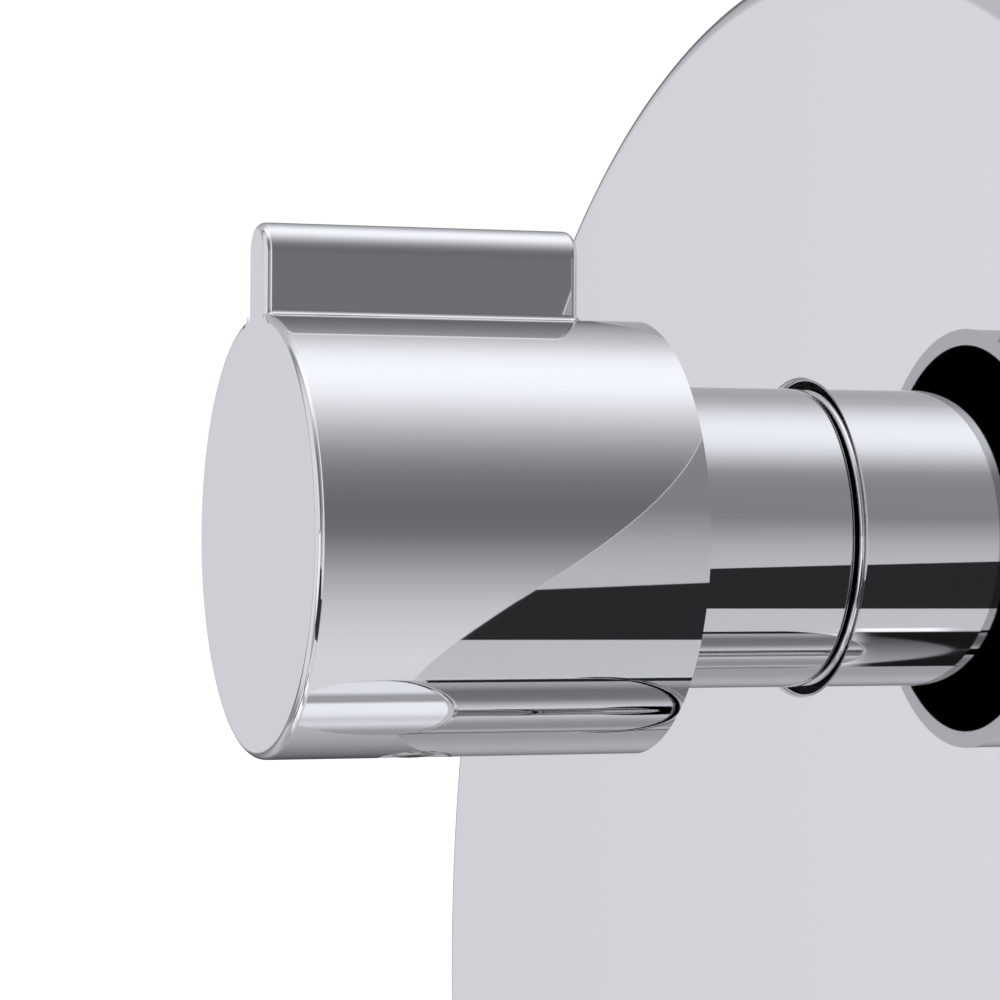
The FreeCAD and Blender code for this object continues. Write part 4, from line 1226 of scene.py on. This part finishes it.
        gain = sky.do("ADD", sky.do("MULTIPLY", sky.do("SUBTRACT", outward, 0.324), 0.75), 1.0)
        gain = sky.do("MINIMUM", sky.do("MAXIMUM", gain, 0.9), 1.12)
        room = sky.do("MULTIPLY", sky.profile(self.into_room, degrees), gain)
        room = sky.blend(sky.step(outward, 0.52, 0.58), room, sky.do("MULTIPLY", room, 0.5))
        room = sky.blend(patch((0.10, 0.27, 0.02), (-70.0, 25.0, 5.0)), room, 1.15)
        room = sky.blend(self.dark_band(sky, degrees, outward), room, 0.036)
        left = sky.do("MULTIPLY", sky.step(outward, 0.6, 0.8), sky.step(across, 0.15, 0.05))
        room = sky.blend(left, room, 0.9)
        room = sky.blend(patch((0.74, 0.96, 0.02), (-3.0, 57.0, 2.0)), room, 1.15)
        rim = sky.do("MULTIPLY", sky.step(outward, 0.80, 0.86), sky.between(degrees, -75.0, -5.0, 3.0))
        room = sky.blend(rim, room, 0.95)
        below = patch((0.412, 0.50, 0.004), (76.6, 118.0, 0.8))
        room = sky.blend(below, room, self.neck_shade(sky, degrees, outward))
        return sky.blend(patch((0.412, 0.434, 0.004), (73.2, 76.4, 0.6)), room, 1.75)

    def surround(self) -> None:
        """Make the soft surround: white to the camera, plain for dull pieces, shaped for metal."""
        world = bpy.data.worlds.new("studio")
        bpy.context.scene.world = world
        world.use_nodes = True
        tree = world.node_tree
        tree.nodes.clear()
        sky = SkyMath(tree)
        place = tree.nodes.new("ShaderNodeTexCoord")
        parts = tree.nodes.new("ShaderNodeSeparateXYZ")
        tree.links.new(place.outputs["Generated"], parts.inputs[0])
        across, along, height = parts.outputs
        angle = sky.do("ARCTAN2", sky.do("MULTIPLY", height, -1.0), across)
        degrees = sky.do("MULTIPLY", angle, 180 / math.pi)
        outward = sky.do("MULTIPLY", along, -1.0)
        shaped = sky.blend(sky.step(outward, -0.12, 0.12), sky.profile(self.toward_wall, degrees),
                           self.room_level(sky, degrees, outward, across))
        shaped = sky.blend(sky.step(along, 0.78, 0.97), shaped, self.plain)
        shaped = sky.blend(sky.step(outward, 0.955, 0.985), shaped, self.plain)
        path = tree.nodes.new("ShaderNodeLightPath")
        mirrored = sky.do("MAXIMUM", path.outputs["Is Glossy Ray"], path.outputs["Is Transmission Ray"])
        level = sky.blend(mirrored, self.dull_level, shaped)
        level = sky.blend(path.outputs["Is Camera Ray"], level, 1.0)
        tint = tree.nodes.new("ShaderNodeMix")
        tint.data_type = "RGBA"
        tint.inputs[6].default_value = (1, 1, 1, 1)
        tint.inputs[7].default_value = (*self.mirror_tint, 1)
        tree.links.new(mirrored, tint.inputs[0])
        background = tree.nodes.new("ShaderNodeBackground")
        out = tree.nodes.new("ShaderNodeOutputWorld")
        tree.links.new(tint.outputs[2], background.inputs["Color"])
        tree.links.new(level, background.inputs["Strength"])
        tree.links.new(background.outputs[0], out.inputs["Surface"])

    def build(self) -> None:
        """Set up everything round the mixer."""
        self.camera()
        self.floor()
        self.lamps()
        self.surround()
        bpy.context.scene.view_settings.view_transform = "Standard"


def main() -> None:
    """Build every piece in order, then the studio round them."""
    logging.basicConfig(level=logging.INFO, format="%(name)s: %(message)s")
    clear_selection()
    paints = Paints()
    WallPlate().build(paints)
    flow = FlowControl()
    flow.build_knob(paints)
    flow.build_neck(paints)
    flow.build_sleeve(paints)
    SetScrew("flow_grub_screw", "flow_set_screw", "flow_control", UPPER_AXIS, KNOB_FACE + SCREW_PLACE,
             7.5, flow.radius - SCREW_SINK).build(paints)
    warm = TemperatureControl()
    warm.build_knob(paints)
    warm.build_collar(paints)
    SetScrew("temperature_grub_screw", "temperature_set_screw", "temperature_control", LOWER_AXIS,
             warm.front + SCREW_PLACE, 10.0, warm.radius - SCREW_SINK).build(paints)
    HiddenWorks({
        "wall_plate", "flow_knob", "flow_neck", "upper_sleeve", "flow_set_screw", "temperature_knob",
        "lower_collar", "temperature_set_screw"}).build(paints)
    Studio().build()
    clear_selection()


if __name__ == "__main__":
    main()
